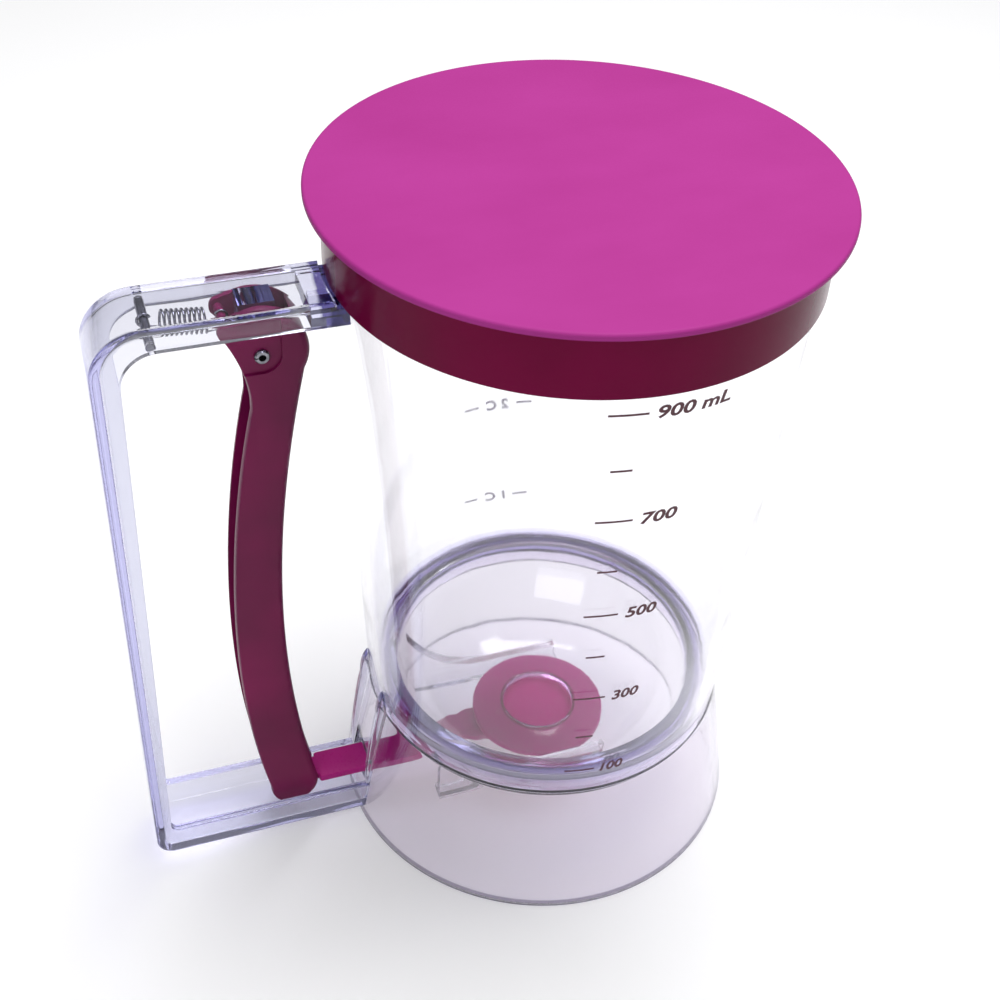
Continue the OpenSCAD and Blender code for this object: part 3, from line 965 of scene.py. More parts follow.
@dataclass
class Vessel:
    """Clear cup, funnel floor and flared base, all turned about the cup's axis."""

    mouth_r: float = 52.5
    foot_r: float = 46.2
    wall: float = 2.0
    rim_z: float = 179.4
    seat_z: float = 163.2
    joint_z: float = 38.0
    ring_r: float = 41.4
    ring_top: float = 41.8
    spigot_len: float = 3.0
    spigot_wall: float = 2.2
    floor_z: float = 22.0
    flat_r: float = 20.0
    outlet_r: float = 9.6
    flange_t: float = 2.2
    bowl_gap: float = 0.3
    base_r: float = 53.0
    flare_power: float = 0.9
    seam: float = 0.05
    bond: float = 0.02
    rail_in: float = 18.5
    rail_t: float = 2.0
    rail_back: float = 34.0
    rail_front: float = 12.0
    rail_sink: float = 0.9
    lip_z: float = 15.2
    lip_top: float = 16.85
    lip_reach: float = 2.0
    slot_w: float = 14.1
    slot_low: float = 11.1
    slot_high: float = 18.6

    @property
    def spigot_r(self) -> float:
        """Outer radius of the spigot inside the base, and of the flange inside the cup."""
        return self.foot_r - self.wall - self.seam

    @property
    def bowl_r(self) -> float:
        """Inner radius of the funnel's bowl at its flange."""
        return self.ring_r - self.wall - self.bowl_gap

    def wall_radius(self, z: Array | float) -> Array | float:
        """Outer radius of the conical cup wall at a height."""
        rise = self.seat_z - self.joint_z
        return self.foot_r + (z - self.joint_z) * (self.mouth_r - self.foot_r) / rise

    def base_radius(self, z: Array) -> Array:
        """Outer radius of the base: the foot's plus the spread times a power of the drop."""
        drop = np.clip((self.joint_z - z) / self.joint_z, 0.0, 1.0)
        return self.foot_r + (self.base_r - self.foot_r) * drop**self.flare_power

    def cup_profile(self) -> Array:
        """Closed section of the cup with its round rim, foot ring and spigot.

        Returns:
            Closed loop of radius and height.
        """
        mouth_in = self.mouth_r - self.wall
        spigot_z = self.joint_z - self.spigot_len
        corners = [[self.spigot_r, self.joint_z], [self.foot_r, self.joint_z],
                   [self.mouth_r, self.seat_z], [self.mouth_r, self.rim_z],
                   [mouth_in, self.rim_z], [mouth_in, self.seat_z],
                   [self.foot_r - self.wall + 0.2, self.ring_top], [self.ring_r, self.ring_top],
                   [self.ring_r, self.joint_z], [self.spigot_r - self.spigot_wall, spigot_z],
                   [self.spigot_r, spigot_z]]
        return filleted(corners, [0.15, 0.35, 6.0, 0.98, 0.98, 6.0, 0.8, 0.4, 0.3, 0.4, 0.4],
                        count=8)

    def bowl_curves(self) -> tuple[Array, Array]:
        """Inner and outer curves of the funnel's bowl, from the flange down to the flat floor.

        Returns:
            The inner and the outer curve, as radius and height.
        """
        low, outer_r = self.floor_z - self.wall, self.bowl_r + self.wall
        bend, bend_z = 1.6, self.ring_top - 8
        inner = bezier([self.bowl_r, self.ring_top + self.flange_t], [self.bowl_r - bend, bend_z],
                       [self.flat_r + 10, self.floor_z + 2], [self.flat_r, self.floor_z], 40)
        outer = bezier([outer_r, self.ring_top], [outer_r - bend, bend_z],
                       [self.flat_r + 11.2, low + 1.8], [self.flat_r + 0.8, low], 40)
        return inner, outer

    def funnel_profile(self) -> Array:
        """Closed section of the funnel with its flange, bowl, flat floor and outlet.

        Returns:
            Closed loop of radius and height.
        """
        inner, outer = self.bowl_curves()
        low, top, inside = self.floor_z - self.wall, self.ring_top + self.flange_t, 15.0
        outlet = filleted([[inside, low], [self.outlet_r, low], [self.outlet_r, self.floor_z],
                           [inside, self.floor_z]], [0, 0.5, 0.5, 0], closed=False)
        flange = filleted([inner[0], [self.spigot_r, top],
                           [self.spigot_r, self.ring_top + self.bond], outer[0] + [0, self.bond]],
                          [0, 0.4, 0.2, 0], closed=False)
        return np.concatenate([outlet, inner[::-1][:-1], flange, outer[1:]])

    def rail(self, side: int) -> Item:
        """Rail that carries the valve: a plate whose top follows the bowl, with a lip at its foot.

        Args:
            side: Minus one for the near rail, one for the far rail.

        Returns:
            The closed mesh of one rail.
        """
        outer = self.bowl_curves()[1][::-1]
        near, far, sink = self.rail_in, self.rail_in + self.rail_t, self.rail_sink
        x = np.linspace(-self.rail_back, self.rail_front, 60)
        radius = np.hypot(x, near + self.rail_t / 2)
        top = np.interp(radius, outer[:, 0], outer[:, 1] + sink,
                        left=self.floor_z - self.wall + sink)
        outline = np.concatenate([np.stack([x, top], -1), [[self.rail_front, self.lip_z],
                                                           [-self.rail_back, self.lip_z]]])
        plate = slab("rail_plate", outline, *side_span(side, near, far))
        lip = rectangle(-self.rail_back, near - self.lip_reach, self.rail_front, near + 0.6)
        foot = slab("rail_lip", lip * [1, side], self.lip_z, self.lip_top, plane=Plane.XY)
        return combine(plate, Join.FUSE, foot)

    def base(self) -> Item:
        """Flared base: its outer curve set in by the wall, with a slot for the link bar.

        Returns:
            The closed mesh.
        """
        z = np.linspace(0.0, self.joint_z, 40)
        outer = np.stack([self.base_radius(z), z], -1)
        ring = np.concatenate([outer, (outer - [self.wall, 0])[::-1]])
        radii = np.zeros(len(ring))
        radii[[0, len(outer) - 1, len(outer), len(ring) - 1]] = [0.45, 0.2, 0.2, 0.45]
        flare = lathe("base_flare", filleted(ring, radii, count=5))
        half = self.slot_w / 2
        mouth = filleted(rectangle(-half, self.slot_low, half, self.slot_high), 0.8)
        through = [np.insert(mouth, 0, x, axis=1) for x in (-60.0, -30.0)]
        return combine(flare, Join.CUT, loft("slot_cutter", np.stack(through)))

    def build(self, wardrobe: Wardrobe) -> None:
        """Build the cup, the funnel with its rails and the slotted base.

        Args:
            wardrobe: Where the finishes come from.
        """
        cup = lathe("cup_shell", self.cup_profile())
        wardrobe.dress(cup, CLEAR_CUP, Body.ROOT, "cup")
        funnel = lathe("funnel_bowl", self.funnel_profile())
        combine(funnel, Join.FUSE, self.rail(-1), self.rail(1))
        wardrobe.dress(funnel, CLEAR_FUNNEL, Body.ROOT, "funnel")
        wardrobe.dress(self.base(), CLEAR_BASE, Body.ROOT, "base_skirt")


@dataclass
class Handle:
    """Clear channel handle: a U section carried round a C path, with fins, lug and end block."""

    vessel: Vessel
    width: float = 17.5
    top_z: float = 165.0
    grip_x: float = 104.2
    heel_x: float = 107.0
    heel_z: float = 3.0
    strap: float = 2.2
    cheek: float = 2.0
    top_depth: float = 5.9
    grip_depth: float = 6.0
    heel_depth: float = 4.2
    trough_depth: float = 9.0
    shoulder_r: float = 11.5
    heel_r: float = 4.5
    open_x: float = -30.0
    edge: float = 1.2
    tip: float = 0.45
    lip: float = 0.3
    lip_width: float = 0.6
    root_r: float = 0.8
    pivot_r: float = 1.66
    lug_w: float = 6.2
    lug_r: float = 3.7
    fin_top: float = 46.0
    fin_stand: float = 1.9
    anchor_r: float = 1.0
    block: Pair = (159.1, 163.4)
    block_end: float = -46.0
    rib: Pair = (156.9, 159.7)
    lid_room: Pair = (55.05, 163.3)

    def path(self, inset: float, depths: Sequence[float], radii: Pair) -> Array:
        """C path of the handle, moved inwards, with a chosen depth on each stretch.

        Args:
            inset: Distance from the outer face on every stretch.
            depths: Extra distance on the top arm, the upper grip, the lower grip and the bottom.
            radii: Corner radii at the shoulder and the heel.

        Returns:
            Points in X and Z, with the same count for every inset.
        """
        top, upper, lower, bottom = (inset + d for d in depths)
        corners = [[self.open_x, self.top_z - top], [-self.grip_x + upper, self.top_z - top],
                   [-self.heel_x + lower, self.heel_z + bottom],
                   [self.open_x, self.heel_z + bottom]]
        return filleted(corners, [0, *radii, 0], closed=False, count=24)

    def sections(self) -> Array:
        """U sections carried round the path: strap outside, flanges inwards, all edges round.

        Returns:
            Array of section, point and coordinate.
        """
        none = (0.0, 0.0, 0.0, 0.0)
        depths = (self.top_depth, self.grip_depth, self.heel_depth, self.trough_depth)
        outer = self.path(0.0, none, (self.shoulder_r, self.heel_r))
        inner = self.path(self.strap, none, (self.shoulder_r - self.strap,
                                             self.heel_r - self.strap))
        window = self.path(0.0, depths, (self.shoulder_r - 3.5, self.heel_r / 2))
        inward, back = unit(inner - outer), unit(window - inner)
        half, hollow = self.width / 2, self.width / 2 - self.cheek
        quarter = np.radians(np.linspace(0, 90, 6))

        def at(points: Array, y: float) -> Array:
            """Points of the path's plane at one Y."""
            return np.concatenate([points, np.full((len(points), 1), y)], -1)

        def corner(base: Array, along: Array, radius: float, level: float, side: int,
                   rising: bool) -> list[Array]:
            """Quarter round: base moves by one minus sine while Y drops by one minus cosine.

            Args:
                base: Points of the path that the corner starts from.
                along: Direction in which each of them moves.
                radius: Radius of the corner.
                level: Distance of the outer face from the middle plane.
                side: Minus one for the near side, one for the far side.
                rising: Whether the corner is run through from the moved end.

            Returns:
                One array of points for each step.
            """
            return [at(base + along * radius * (1 - np.sin(a)),
                       side * (level - radius * (1 - np.cos(a))))
                    for a in (quarter if rising else quarter[::-1])]

        lip, lip_y = window - back * self.lip, hollow + self.lip_width
        ring = [*corner(window, -back, self.tip, half, -1, False),
                *corner(outer, inward, self.edge, half, -1, True),
                *corner(outer, inward, self.edge, half, 1, False),
                *corner(window, -back, self.tip, half, 1, True),
                at(lip, lip_y), at(lip, hollow),
                *corner(inner, back, self.root_r, hollow, 1, True),
                *corner(inner, back, self.root_r, hollow, -1, False),
                at(lip, -hollow), at(lip, -lip_y)]
        return np.stack(ring, 1)[..., [0, 2, 1]]

    def fin(self, side: int) -> Item:
        """Brace between the bottom arm, the base's flare and the foot of the cup.

        Args:
            side: Minus one for the near fin, one for the far fin.

        Returns:
            The closed mesh of one fin.
        """
        foot = self.heel_z + self.trough_depth
        joint_z, stand = self.vessel.joint_z, self.fin_stand
        climb = np.linspace(0.0, 1.0, 24)
        z = foot + (joint_z - foot) * climb
        crest = -self.vessel.foot_r - stand
        outline = np.concatenate([
            [[-self.vessel.base_radius(np.array(foot)), foot - 0.6]],
            np.stack([-self.vessel.base_radius(z) - stand * np.sqrt(climb), z], -1),
            bezier([crest, joint_z], [crest + 0.1 * stand, (joint_z + self.fin_top) / 2],
                   [crest + 0.4 * stand, self.fin_top - 1.5],
                   [crest + 1.2 * stand, self.fin_top], 16)[1:],
            [[self.open_x, self.fin_top], [self.open_x, self.heel_z + self.strap]]])
        half = self.width / 2
        return slab("fin", outline, *side_span(side, half, half - self.cheek), 0.25, steps=3)

    def lug(self) -> Item:
        """Lug that hangs in the top arm's channel and carries the pivot pin.

        Returns:
            The closed mesh.
        """
        x = PIVOT[0]
        roof = self.top_z - self.strap + 0.6
        outline = np.concatenate([arc(PIVOT, self.lug_r, 180, 360, 32),
                                  [[x + self.lug_r, roof], [x - self.lug_r, roof]]])
        return slab("lug", outline, -self.lug_w / 2, self.lug_w / 2)

    def envelope(self) -> Item:
        """Room that the cup, the base and the lid's skirt take out of the handle.

        Returns:
            The closed mesh.
        """
        vessel, gap, below, above = self.vessel, self.vessel.seam, -2.0, 190.0
        room_r, room_z = self.lid_room
        z = np.linspace(0.0, vessel.joint_z, 40)
        return lathe("envelope", np.concatenate([
            [[0, below], [vessel.base_r + gap, below]],
            np.stack([vessel.base_radius(z) + gap, z], -1),
            [[vessel.mouth_r + gap, vessel.seat_z], [vessel.mouth_r + gap, room_z],
             [room_r, room_z], [room_r, above], [0, above]]]))

    def build(self, wardrobe: Wardrobe) -> None:
        """Build the clear handle as one fused piece, and the pin that anchors the spring.

        Args:
            wardrobe: Where the finishes come from.
        """
        handle = loft("handle_channel", self.sections())
        block_x, block_y = -self.vessel.mouth_r - 7, self.width / 2 - self.cheek + 0.3
        block = rectangle(block_x, self.block[0], self.block_end, self.block[1])
        rib = rectangle(block_x + 1, self.rib[0], self.block_end - 1, self.rib[1])
        combine(handle, Join.FUSE, slab("block", block, -block_y, block_y),
                slab("rib", rib, -1.0, 1.0), self.lug(), self.fin(-1), self.fin(1))
        combine(handle, Join.CUT, self.envelope(),
                rod("bore", PIVOT, self.pivot_r, self.lug_w + 3, SQUARE),
                rod("hole", ANCHOR, self.anchor_r + 0.02, self.width - 1.4, SQUARE))
        wardrobe.dress(handle, CLEAR_HANDLE, Body.ROOT, "handle_frame")
        anchor = rod("anchor_pin", ANCHOR, self.anchor_r, self.width - 1.6, 0.25)
        wardrobe.dress(anchor, STEEL, Body.ROOT, "spring_anchor_pin")


@dataclass
class Lever:
    """Plum squeeze lever: a channel open towards the grip, with a head, a horn and two pins."""

    width: float = 10.6
    cheek: float = 1.8
    web: float = 2.2
    head_r: float = 10.2
    finger_bow: float = 1.7
    grip_bow: float = 13.0
    foot_r: float = 6.3
    finger_round: float = 1.8
    grip_round: float = 0.5
    hook: Pair = (-6.9, 7.0)  # from the pivot to the horn
    lobe_r: float = 1.8
    bar_r: float = 1.0
    pin_r: float = 1.6
    pin_wall: float = 0.8
    pin_slit: float = 0.2
    link_pin_r: float = 1.5
    fit: float = 0.02
    pin_skin: float = 0.9
    recess: float = 0.6
    recess_r: float = 4.2

    def finger_edge(self) -> Array:
        """Edge that the fingers pull, from the head down to the foot.

        Returns:
            Points in X and Z.
        """
        x, z = PIVOT
        link_z, a = LINK[1], math.radians(28)
        return bezier([x + self.head_r * math.cos(a), z - self.head_r * math.sin(a)],
                      [x - self.finger_bow + 0.2, z - 52], [x - self.finger_bow - 0.2, link_z + 43],
                      [x + self.foot_r, link_z + 1], 70)

    def outline(self) -> Array:
        """Outline of a cheek: head, finger edge, foot, grip edge and horn.

        Returns:
            Closed loop in X and Z.
        """
        p, link_z = np.array(PIVOT), LINK[1]
        x, z = PIVOT
        hook = p + self.hook
        grip = bezier([x - 3.1, z - 13.6], [x - self.grip_bow + 1.9, z - 48],
                      [x - self.grip_bow - 1.8, link_z + 42], [x - self.foot_r, link_z + 1], 70)
        neck = bezier(p + [-3.05, -12], p + [-2.9, -6], p + [-5.4, 1], hook + [-1.2, -1.35], 20)
        return np.concatenate([arc(p, self.head_r, 112, -26, 48), self.finger_edge(),
                               arc(LINK, self.foot_r, -5, -175, 36), grip[::-1], neck,
                               arc(hook, self.lobe_r, 220, 100, 16)])

    def edge_widths(self, outline: Array) -> Array:
        """Width of the round rim: wide where the outline faces the fingers, else narrow.

        Args:
            outline: Outline of the cheek.

        Returns:
            One width for each point of the outline.
        """
        around = unit(np.roll(outline, -1, 0) - np.roll(outline, 1, 0))
        facing = np.clip(-1.1 * around[:, 1] + 0.2, 0.0, 1.0)
        return self.grip_round + (self.finger_round - self.grip_round) * facing

    def hollow(self) -> Item:
        """Cutter for the channel: what lies behind the web, from the foot up to the head.

        Returns:
            The closed mesh.
        """
        x, z = PIVOT
        low, over, behind = LINK[1] + 8, 20.0, 30.0
        edge = self.finger_edge()
        inside = edge[(edge[:, 1] > low) & (edge[:, 1] < z - 6)] - [self.web, 0]
        right = x + self.head_r - self.web - 1.2
        outline = np.concatenate([
            [[right, z + over], [right, z - 2]], inside,
            [[x + self.foot_r - self.web - 1.6, low], [x + over, low], [x + over, 0],
             [x - behind, 0], [x - behind, z + over]]])
        half = self.width / 2 - self.cheek
        return slab("hollow", outline, -half, half)

    def recess_cutter(self, side: int) -> Item:
        """Cutter for the shallow panel round the pivot on one side of the head.

        Args:
            side: Minus one for the near side, one for the far side.

        Returns:
            The closed mesh.
        """
        x, z = PIVOT
        reach, half = self.recess_r, self.width / 2
        panel = np.concatenate([arc(PIVOT, reach, -90, 0, 16),
                                [[x + reach, z + 14], [x - 16, z + 14], [x - 16, z - reach]]])
        return slab("recess", panel, *side_span(side, half - self.recess, half + 1))

    def roll_pin(self) -> Item:
        """Roll pin: a C section, slit towards the grip, carried along Y, with chamfered ends.

        Returns:
            The closed mesh.
        """
        x, z = PIVOT
        slit = math.degrees(math.asin(self.pin_slit / self.pin_r))
        around = np.radians(np.linspace(180 + slit, 540 - slit, 64))
        half, end_r = (self.width + 0.6) / 2, self.pin_r - 0.25
        along = np.array([-half, -half + 0.3, half - 0.3, half])
        outer_r = np.array([end_r, self.pin_r, self.pin_r, end_r])
        ring = np.stack([np.cos(around), np.sin(around)], -1)
        outer = outer_r[:, None, None] * ring[None]
        inner = np.broadcast_to((self.pin_r - self.pin_wall) * ring[::-1], outer.shape)
        flat = np.concatenate([outer, inner], 1)
        y = np.broadcast_to(along[:, None], flat.shape[:2])
        return loft("roll_pin", np.stack([x + flat[..., 0], y, z + flat[..., 1]], -1))

    def build(self, wardrobe: Wardrobe) -> None:
        """Build the lever and its two pins.

        Args:
            wardrobe: Where the finishes come from.
        """
        x, z = PIVOT
        half, outline = self.width / 2, self.outline()
        lever = slab("lever_body", outline, -half, half, self.edge_widths(outline), steps=7)
        combine(lever, Join.CUT, self.hollow(), self.recess_cutter(-1), self.recess_cutter(1))
        combine(lever, Join.FUSE, rod("bar", (x + self.hook[0], z + self.hook[1]), self.bar_r,
                                      self.width - self.cheek, SQUARE))
        combine(lever, Join.CUT,
                rod("bore", PIVOT, self.pin_r + self.fit, self.width + 2, SQUARE),
                rod("seat", LINK, self.link_pin_r + self.fit, self.width - self.pin_skin + 2,
                    SQUARE, self.pin_skin / 2 + 1))
        wardrobe.dress(lever, PLUM, Body.LEVER, "lever")
        wardrobe.dress(self.roll_pin(), STEEL, Body.LEVER, "pivot_pin")
        link_pin = rod("foot_pin", LINK, self.link_pin_r, self.width - self.pin_skin,
                       middle=self.pin_skin / 2)
        wardrobe.dress(link_pin, STEEL, Body.LEVER, "link_pin")


@dataclass
class Valve:
    """Sliding valve: a disc with a dish under the outlet, on a stepped link bar."""

    disc_r: float = 18.0
    disc_top: float = 19.75
    disc_low: float = 17.0
    dish_r: float = 9.4
    dish_depth: float = 2.0
    stub_r: float = 3.93
    seat_r: float = 4.0
    bar_w: float = 8.6
    plate_w: float = 11.0
    bar_t: float = 2.2
    bar_z: float = 12.3
    ramp: Pair = (-30.5, -24.5)
    tip: float = 8.0
    pin_r: float = 1.5
    link_lift: float = 2.1
    wide_from: float = -62.7
    tongue_w: float = 6.2

    def bar(self) -> Item:
        """Link bar: a flat outline with a round tip, lifted along X by a smooth step.

        Returns:
            The closed mesh.
        """
        half, wide, end = self.bar_w / 2, self.plate_w / 2, self.wide_from
        tip = arc((self.tip - wide, 0), wide, -90, 90, 32)
        x = np.linspace(end + 0.8, self.tip - wide, 160)[:-1]
        before = np.clip(self.ramp[1] + wide - x, 0.0, wide)
        side = np.maximum(half, np.sqrt(wide**2 - before**2))
        shoulder = filleted([[end + 4, half], [end, half], [end, -half], [end + 4, -half]],
                            [0, 0.7, 0.7, 0], closed=False)[1:-1]
        outline = np.concatenate([np.stack([x, -side], -1), tip, np.stack([x, side], -1)[::-1],
                                  shoulder])
        bar = slab("link_slide", outline, self.bar_z, self.bar_z + self.bar_t, 0.35, Plane.XY, 4)
        place = read_points(bar.data)
        climb = (place[:, 0] / MM - self.ramp[0]) / (self.ramp[1] - self.ramp[0])
        climb = np.clip(climb, 0.0, 1.0)
        rise = self.disc_low - self.bar_t - self.bar_z
        place[:, 2] += (rise * (climb * climb * (3 - 2 * climb)) * MM).astype(np.float32)
        write_points(bar.data, place)
        return bar

    def eye(self) -> Item:
        """Upright eye at the bar's end with a slot for the foot pin.

        Returns:
            The closed mesh.
        """
        x, z = LINK
        left, right, bar_x = x - self.pin_r - 2.4, x + self.pin_r + 2.4, self.wide_from + 0.6
        low, top = z - self.pin_r - 2.1, z + self.link_lift + self.pin_r + 1.8
        bar_top = self.bar_z + self.bar_t
        outline = filleted([[left, low], [right, low], [right, self.bar_z], [bar_x, self.bar_z],
                            [bar_x, bar_top], [right, bar_top], [right, top], [left, top]],
                           [0.8, 0.8, 0.4, 0, 0, 0.4, 1.4, 1.4])
        half = self.tongue_w / 2
        eye = slab("link_eye", outline, -half, half, 0.25, steps=3)
        slot_r = self.pin_r + 0.25
        slot = np.concatenate([arc((x, z + self.link_lift + 0.1), slot_r, 0, 180, 24),
                               arc(LINK, slot_r, 180, 360, 24)])
        return combine(eye, Join.CUT, slab("slot", slot, -self.tongue_w, self.tongue_w))

    def disc(self) -> Item:
        """Round valve with a dish in its top and a stub under it that sits in the bar.

        Returns:
            The closed mesh.
        """
        stub_z, dish_z = self.disc_low - self.bar_t, self.disc_top - self.dish_depth
        dish = bezier([self.dish_r, self.disc_top],
                      [self.dish_r - 0.5, self.disc_top - self.dish_depth * 0.85],
                      [self.dish_r - 2.6, dish_z], [0, dish_z], 24)
        rim = filleted([[0, stub_z], [self.stub_r, stub_z], [self.stub_r, self.disc_low],
                        [self.disc_r, self.disc_low], [self.disc_r, self.disc_top],
                        [self.dish_r + 0.2, self.disc_top]], [0, 0.2, 0, 0.6, 0.7, 0.2],
                       closed=False)
        return lathe("valve_dish", np.concatenate([rim, dish]), 192)

    def build(self, wardrobe: Wardrobe) -> None:
        """Build the link bar with its eye and the disc's seat, and the disc.

        Args:
            wardrobe: Where the finishes come from.
        """
        link = combine(self.bar(), Join.FUSE, self.eye())
        combine(link, Join.CUT, lathe("seat_cutter", rectangle(0, 12.0, self.seat_r, 18.0), 64))
        wardrobe.dress(link, LINK_PINK, Body.VALVE, "link_bar")
        wardrobe.dress(self.disc(), VALVE_PINK, Body.VALVE, "valve_disc")


@dataclass
class ReturnSpring:
    """Extension spring between the anchor pin and the lever's horn, wound from one wire."""

    wire_d: float = 0.55
    coils: int = 9
    pitch: float = 1.0
    coil_r: float = 1.75
    pin_r: float = 1.0

    def path(self) -> Array:
        """Hook round the pin, helix of even pitch, hook round the horn's bar, as one line.

        Returns:
            Points that the wire's centre follows.
        """
        a = np.array([ANCHOR[0], 0.0, ANCHOR[1]])
        b = np.array([HORN[0], 0.0, HORN[1]])
        length = float(np.linalg.norm(b - a))
        u = (b - a) / length
        n = np.array([-u[2], 0.0, u[0]])
        y = np.array([0.0, 1.0, 0.0])
        body = self.coils * self.pitch
        t = np.linspace(0.0, 1.0, self.coils * 28 + 1)
        turn = np.radians(-90 + 360 * self.coils * t)
        helix = np.stack([(length - body) / 2 + body * t, self.coil_r * np.sin(turn),
                          self.coil_r * np.cos(turn)], -1)

        def hook(centre: float, start: float, stop: float) -> Array:
            """Part of a turn round a pin, between two angles in degrees.

            Args:
                centre: Distance of the pin from the anchor's, along the spring.
                start: First angle.
                stop: Last angle.

            Returns:
                Points along the spring, across it and along Y.
            """
            angle = np.radians(np.linspace(start, stop, 24))
            radius = self.pin_r + self.wire_d * 0.6
            return np.stack([centre + radius * np.cos(angle), radius * np.sin(angle), 0 * angle],
                            -1)

        local = np.concatenate([hook(0.0, 30, 290), helix, hook(length, 250, 510)])
        return a + local[:, :1] * u + local[:, 1:2] * n + local[:, 2:] * y

    def build(self, wardrobe: Wardrobe) -> None:
        """Build the spring, which stretches between the handle and the lever.

        Args:
            wardrobe: Where the finishes come from.
        """
        spring = tube("spring_coil", self.path(), self.wire_d / 2)
        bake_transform(spring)
        wardrobe.wear(spring, WIRE, "return_spring")


@dataclass
class Lid:
    """Push-on lid with an overhanging top, a skirt outside the rim and a locating lip inside."""

    rim_z: float = 179.4
    top_z: float = 181.0
    top_r: float = 57.5
    skirt_r: float = 52.65
    wall: float = 1.35
    skirt_z: float = 163.8
    lip_r: float = 50.2
    lip_wall: float = 1.2
    lip_z: float = 175.4

    def build(self, wardrobe: Wardrobe) -> None:
        """Build the lid from one closed section with rounded edges.

        Args:
            wardrobe: Where the finishes come from.
        """
        out, lip_in = self.skirt_r + self.wall, self.lip_r - self.lip_wall
        corners = [[0, self.rim_z], [lip_in, self.rim_z], [lip_in, self.lip_z],
                   [self.lip_r, self.lip_z], [self.lip_r, self.rim_z], [self.skirt_r, self.rim_z],
                   [self.skirt_r, self.skirt_z], [out, self.skirt_z], [out, self.rim_z],
                   [self.top_r, self.rim_z], [self.top_r, self.top_z], [0, self.top_z]]
        radii = [0, 0.3, 0.3, 0.5, 0.1, 0.1, 0.3, 0.35, 0.3, 0.3, 0.75, 0]
        lid = lathe("lid_cover", filleted(corners, radii, closed=False, count=8), 320)
        wardrobe.dress(lid, LID_PINK, Body.LID, "lid")


@dataclass
class ScalePrint:
    """Measuring scale printed on the cup's wall: millilitres in front, cups at the back.

    Angles are in degrees round the cup's axis, with the camera's side at about minus 90.
    """

    vessel: Vessel
    lift: float = 0.02
    thick: float = 0.03
    stroke: float = 0.52
    line: Pair = (-103.5, -94.6)
    tick: Pair = (-101.5, -96.5)
    figures_from: float = -92.6
    figures_tall: float = 3.3
    unit_to: float = -74.7
    back_lines: tuple[tuple[str, Pair], ...] = (("a", (77.0, 82.0)), ("b", (95.0, 100.0)))
    back_figures: Pair = (84.5, 92.5)
    back_tall: float = 3.2
    cups: tuple[tuple[str, float], ...] = (("1 C", 57.0), ("2 C", 88.0))
    heights: dict[int, float] = field(default_factory=lambda: {
        100: 46.8, 200: 59.9, 300: 74.1, 400: 88.6, 500: 102.2, 600: 115.9, 700: 130.6,
        800: 144.5, 900: 158.9})

    def wrap(self, flat: Array, angle: float, height: float) -> Array:
        """Lay flat print on the conical wall: its X runs round the wall, its Y up, its Z outwards.

        Args:
            flat: Points of the print.
            angle: Angle of the print's origin.
            height: Height of the print's origin.

        Returns:
            Points on the wall.
        """
        z = height + flat[..., 1]
        radius = self.vessel.wall_radius(z) + self.lift + flat[..., 2]
        turn = math.radians(angle) + flat[..., 0] / self.vessel.wall_radius(height)
        return np.stack([radius * np.cos(turn), radius * np.sin(turn), z], -1)

    def length(self, span: Pair, height: float) -> float:
        """Distance round the wall between two angles."""
        return math.radians(span[1] - span[0]) * self.vessel.wall_radius(height)

    def dash(self, name: str, span: Pair, height: float) -> Item:
        """Printed line between two angles at one height.

        Args:
            name: Name of the piece.
            span: Angles of the two ends.
            height: Height of the line.

        Returns:
            The new object.
        """
        half, steps = self.stroke / 2, 16
        ring = rectangle(-half, 0, half, self.thick)
        x = np.linspace(0.0, self.length(span, height), steps)
        flat = np.stack([np.insert(ring, 0, along, axis=1) for along in x])
        return loft(name, self.wrap(flat, span[0], height))

    def words(self, name: str, text: str, span: Pair, height: float, tall: float) -> Item:
        """Printed figures between two angles, centred on a height.

        Args:
            name: Name of the piece.
            text: Figures to print.
            span: Angles of the left and the right end.
            height: Height of the figures' middle.
            tall: Height of the figures.

        Returns:
            The new object.
        """
        curve = bpy.data.curves.new(name, "FONT")
        curve.body, curve.shear, curve.offset = text, 0.15, 0.028
        curve.extrude, curve.resolution_u = 0.01, 3
        item = add_object(name, curve)
        bpy.context.view_layer.update()
        graph = bpy.context.evaluated_depsgraph_get()
        mesh = bpy.data.meshes.new_from_object(item.evaluated_get(graph))
        bpy.data.objects.remove(item)
        bpy.data.curves.remove(curve)
        place = read_points(mesh).astype(float)
        low, high = place.min(0), place.max(0)
        size = [self.length(span, height), tall, self.thick]
        flat = (place - low) / (high - low) * size - [0, tall / 2, 0]
        write_points(mesh, self.wrap(flat, span[0], height) * MM)
        return add_object(name, mesh)

    def figures_to(self, amount: int) -> float:
        """Angle of the right end of an amount's figures, which run a little wider upwards."""
        return -83.4 - (700 - amount) * 0.0033

    def build(self, wardrobe: Wardrobe) -> None:
        """Print both scales.

        Args:
            wardrobe: Where the finishes come from.
        """
        for amount, height in self.heights.items():
            if amount % 200 == 0:
                printed = [self.dash(f"tick_{amount}", self.tick, height)]
            else:
                text, stop = (f"{amount} mL", self.unit_to) if amount == max(self.heights) else (
                    str(amount), self.figures_to(amount))
                printed = [self.dash(f"line_{amount}", self.line, height),
                           self.words(f"figures_{amount}", text, (self.figures_from, stop),
                                      height, self.figures_tall)]
            for piece in printed:
                wardrobe.dress(piece, MAROON_INK, Body.ROOT)
        for number, (text, height) in enumerate(self.cups, 1):
            printed = [self.dash(f"back_line_{number}{part}", span, height)
                       for part, span in self.back_lines]
            printed.append(self.words(f"back_figures_{number}", text, self.back_figures, height,
                                      self.back_tall))
            for piece in printed:
                wardrobe.dress(piece, GREY_INK, Body.ROOT)


# ---- studio ----


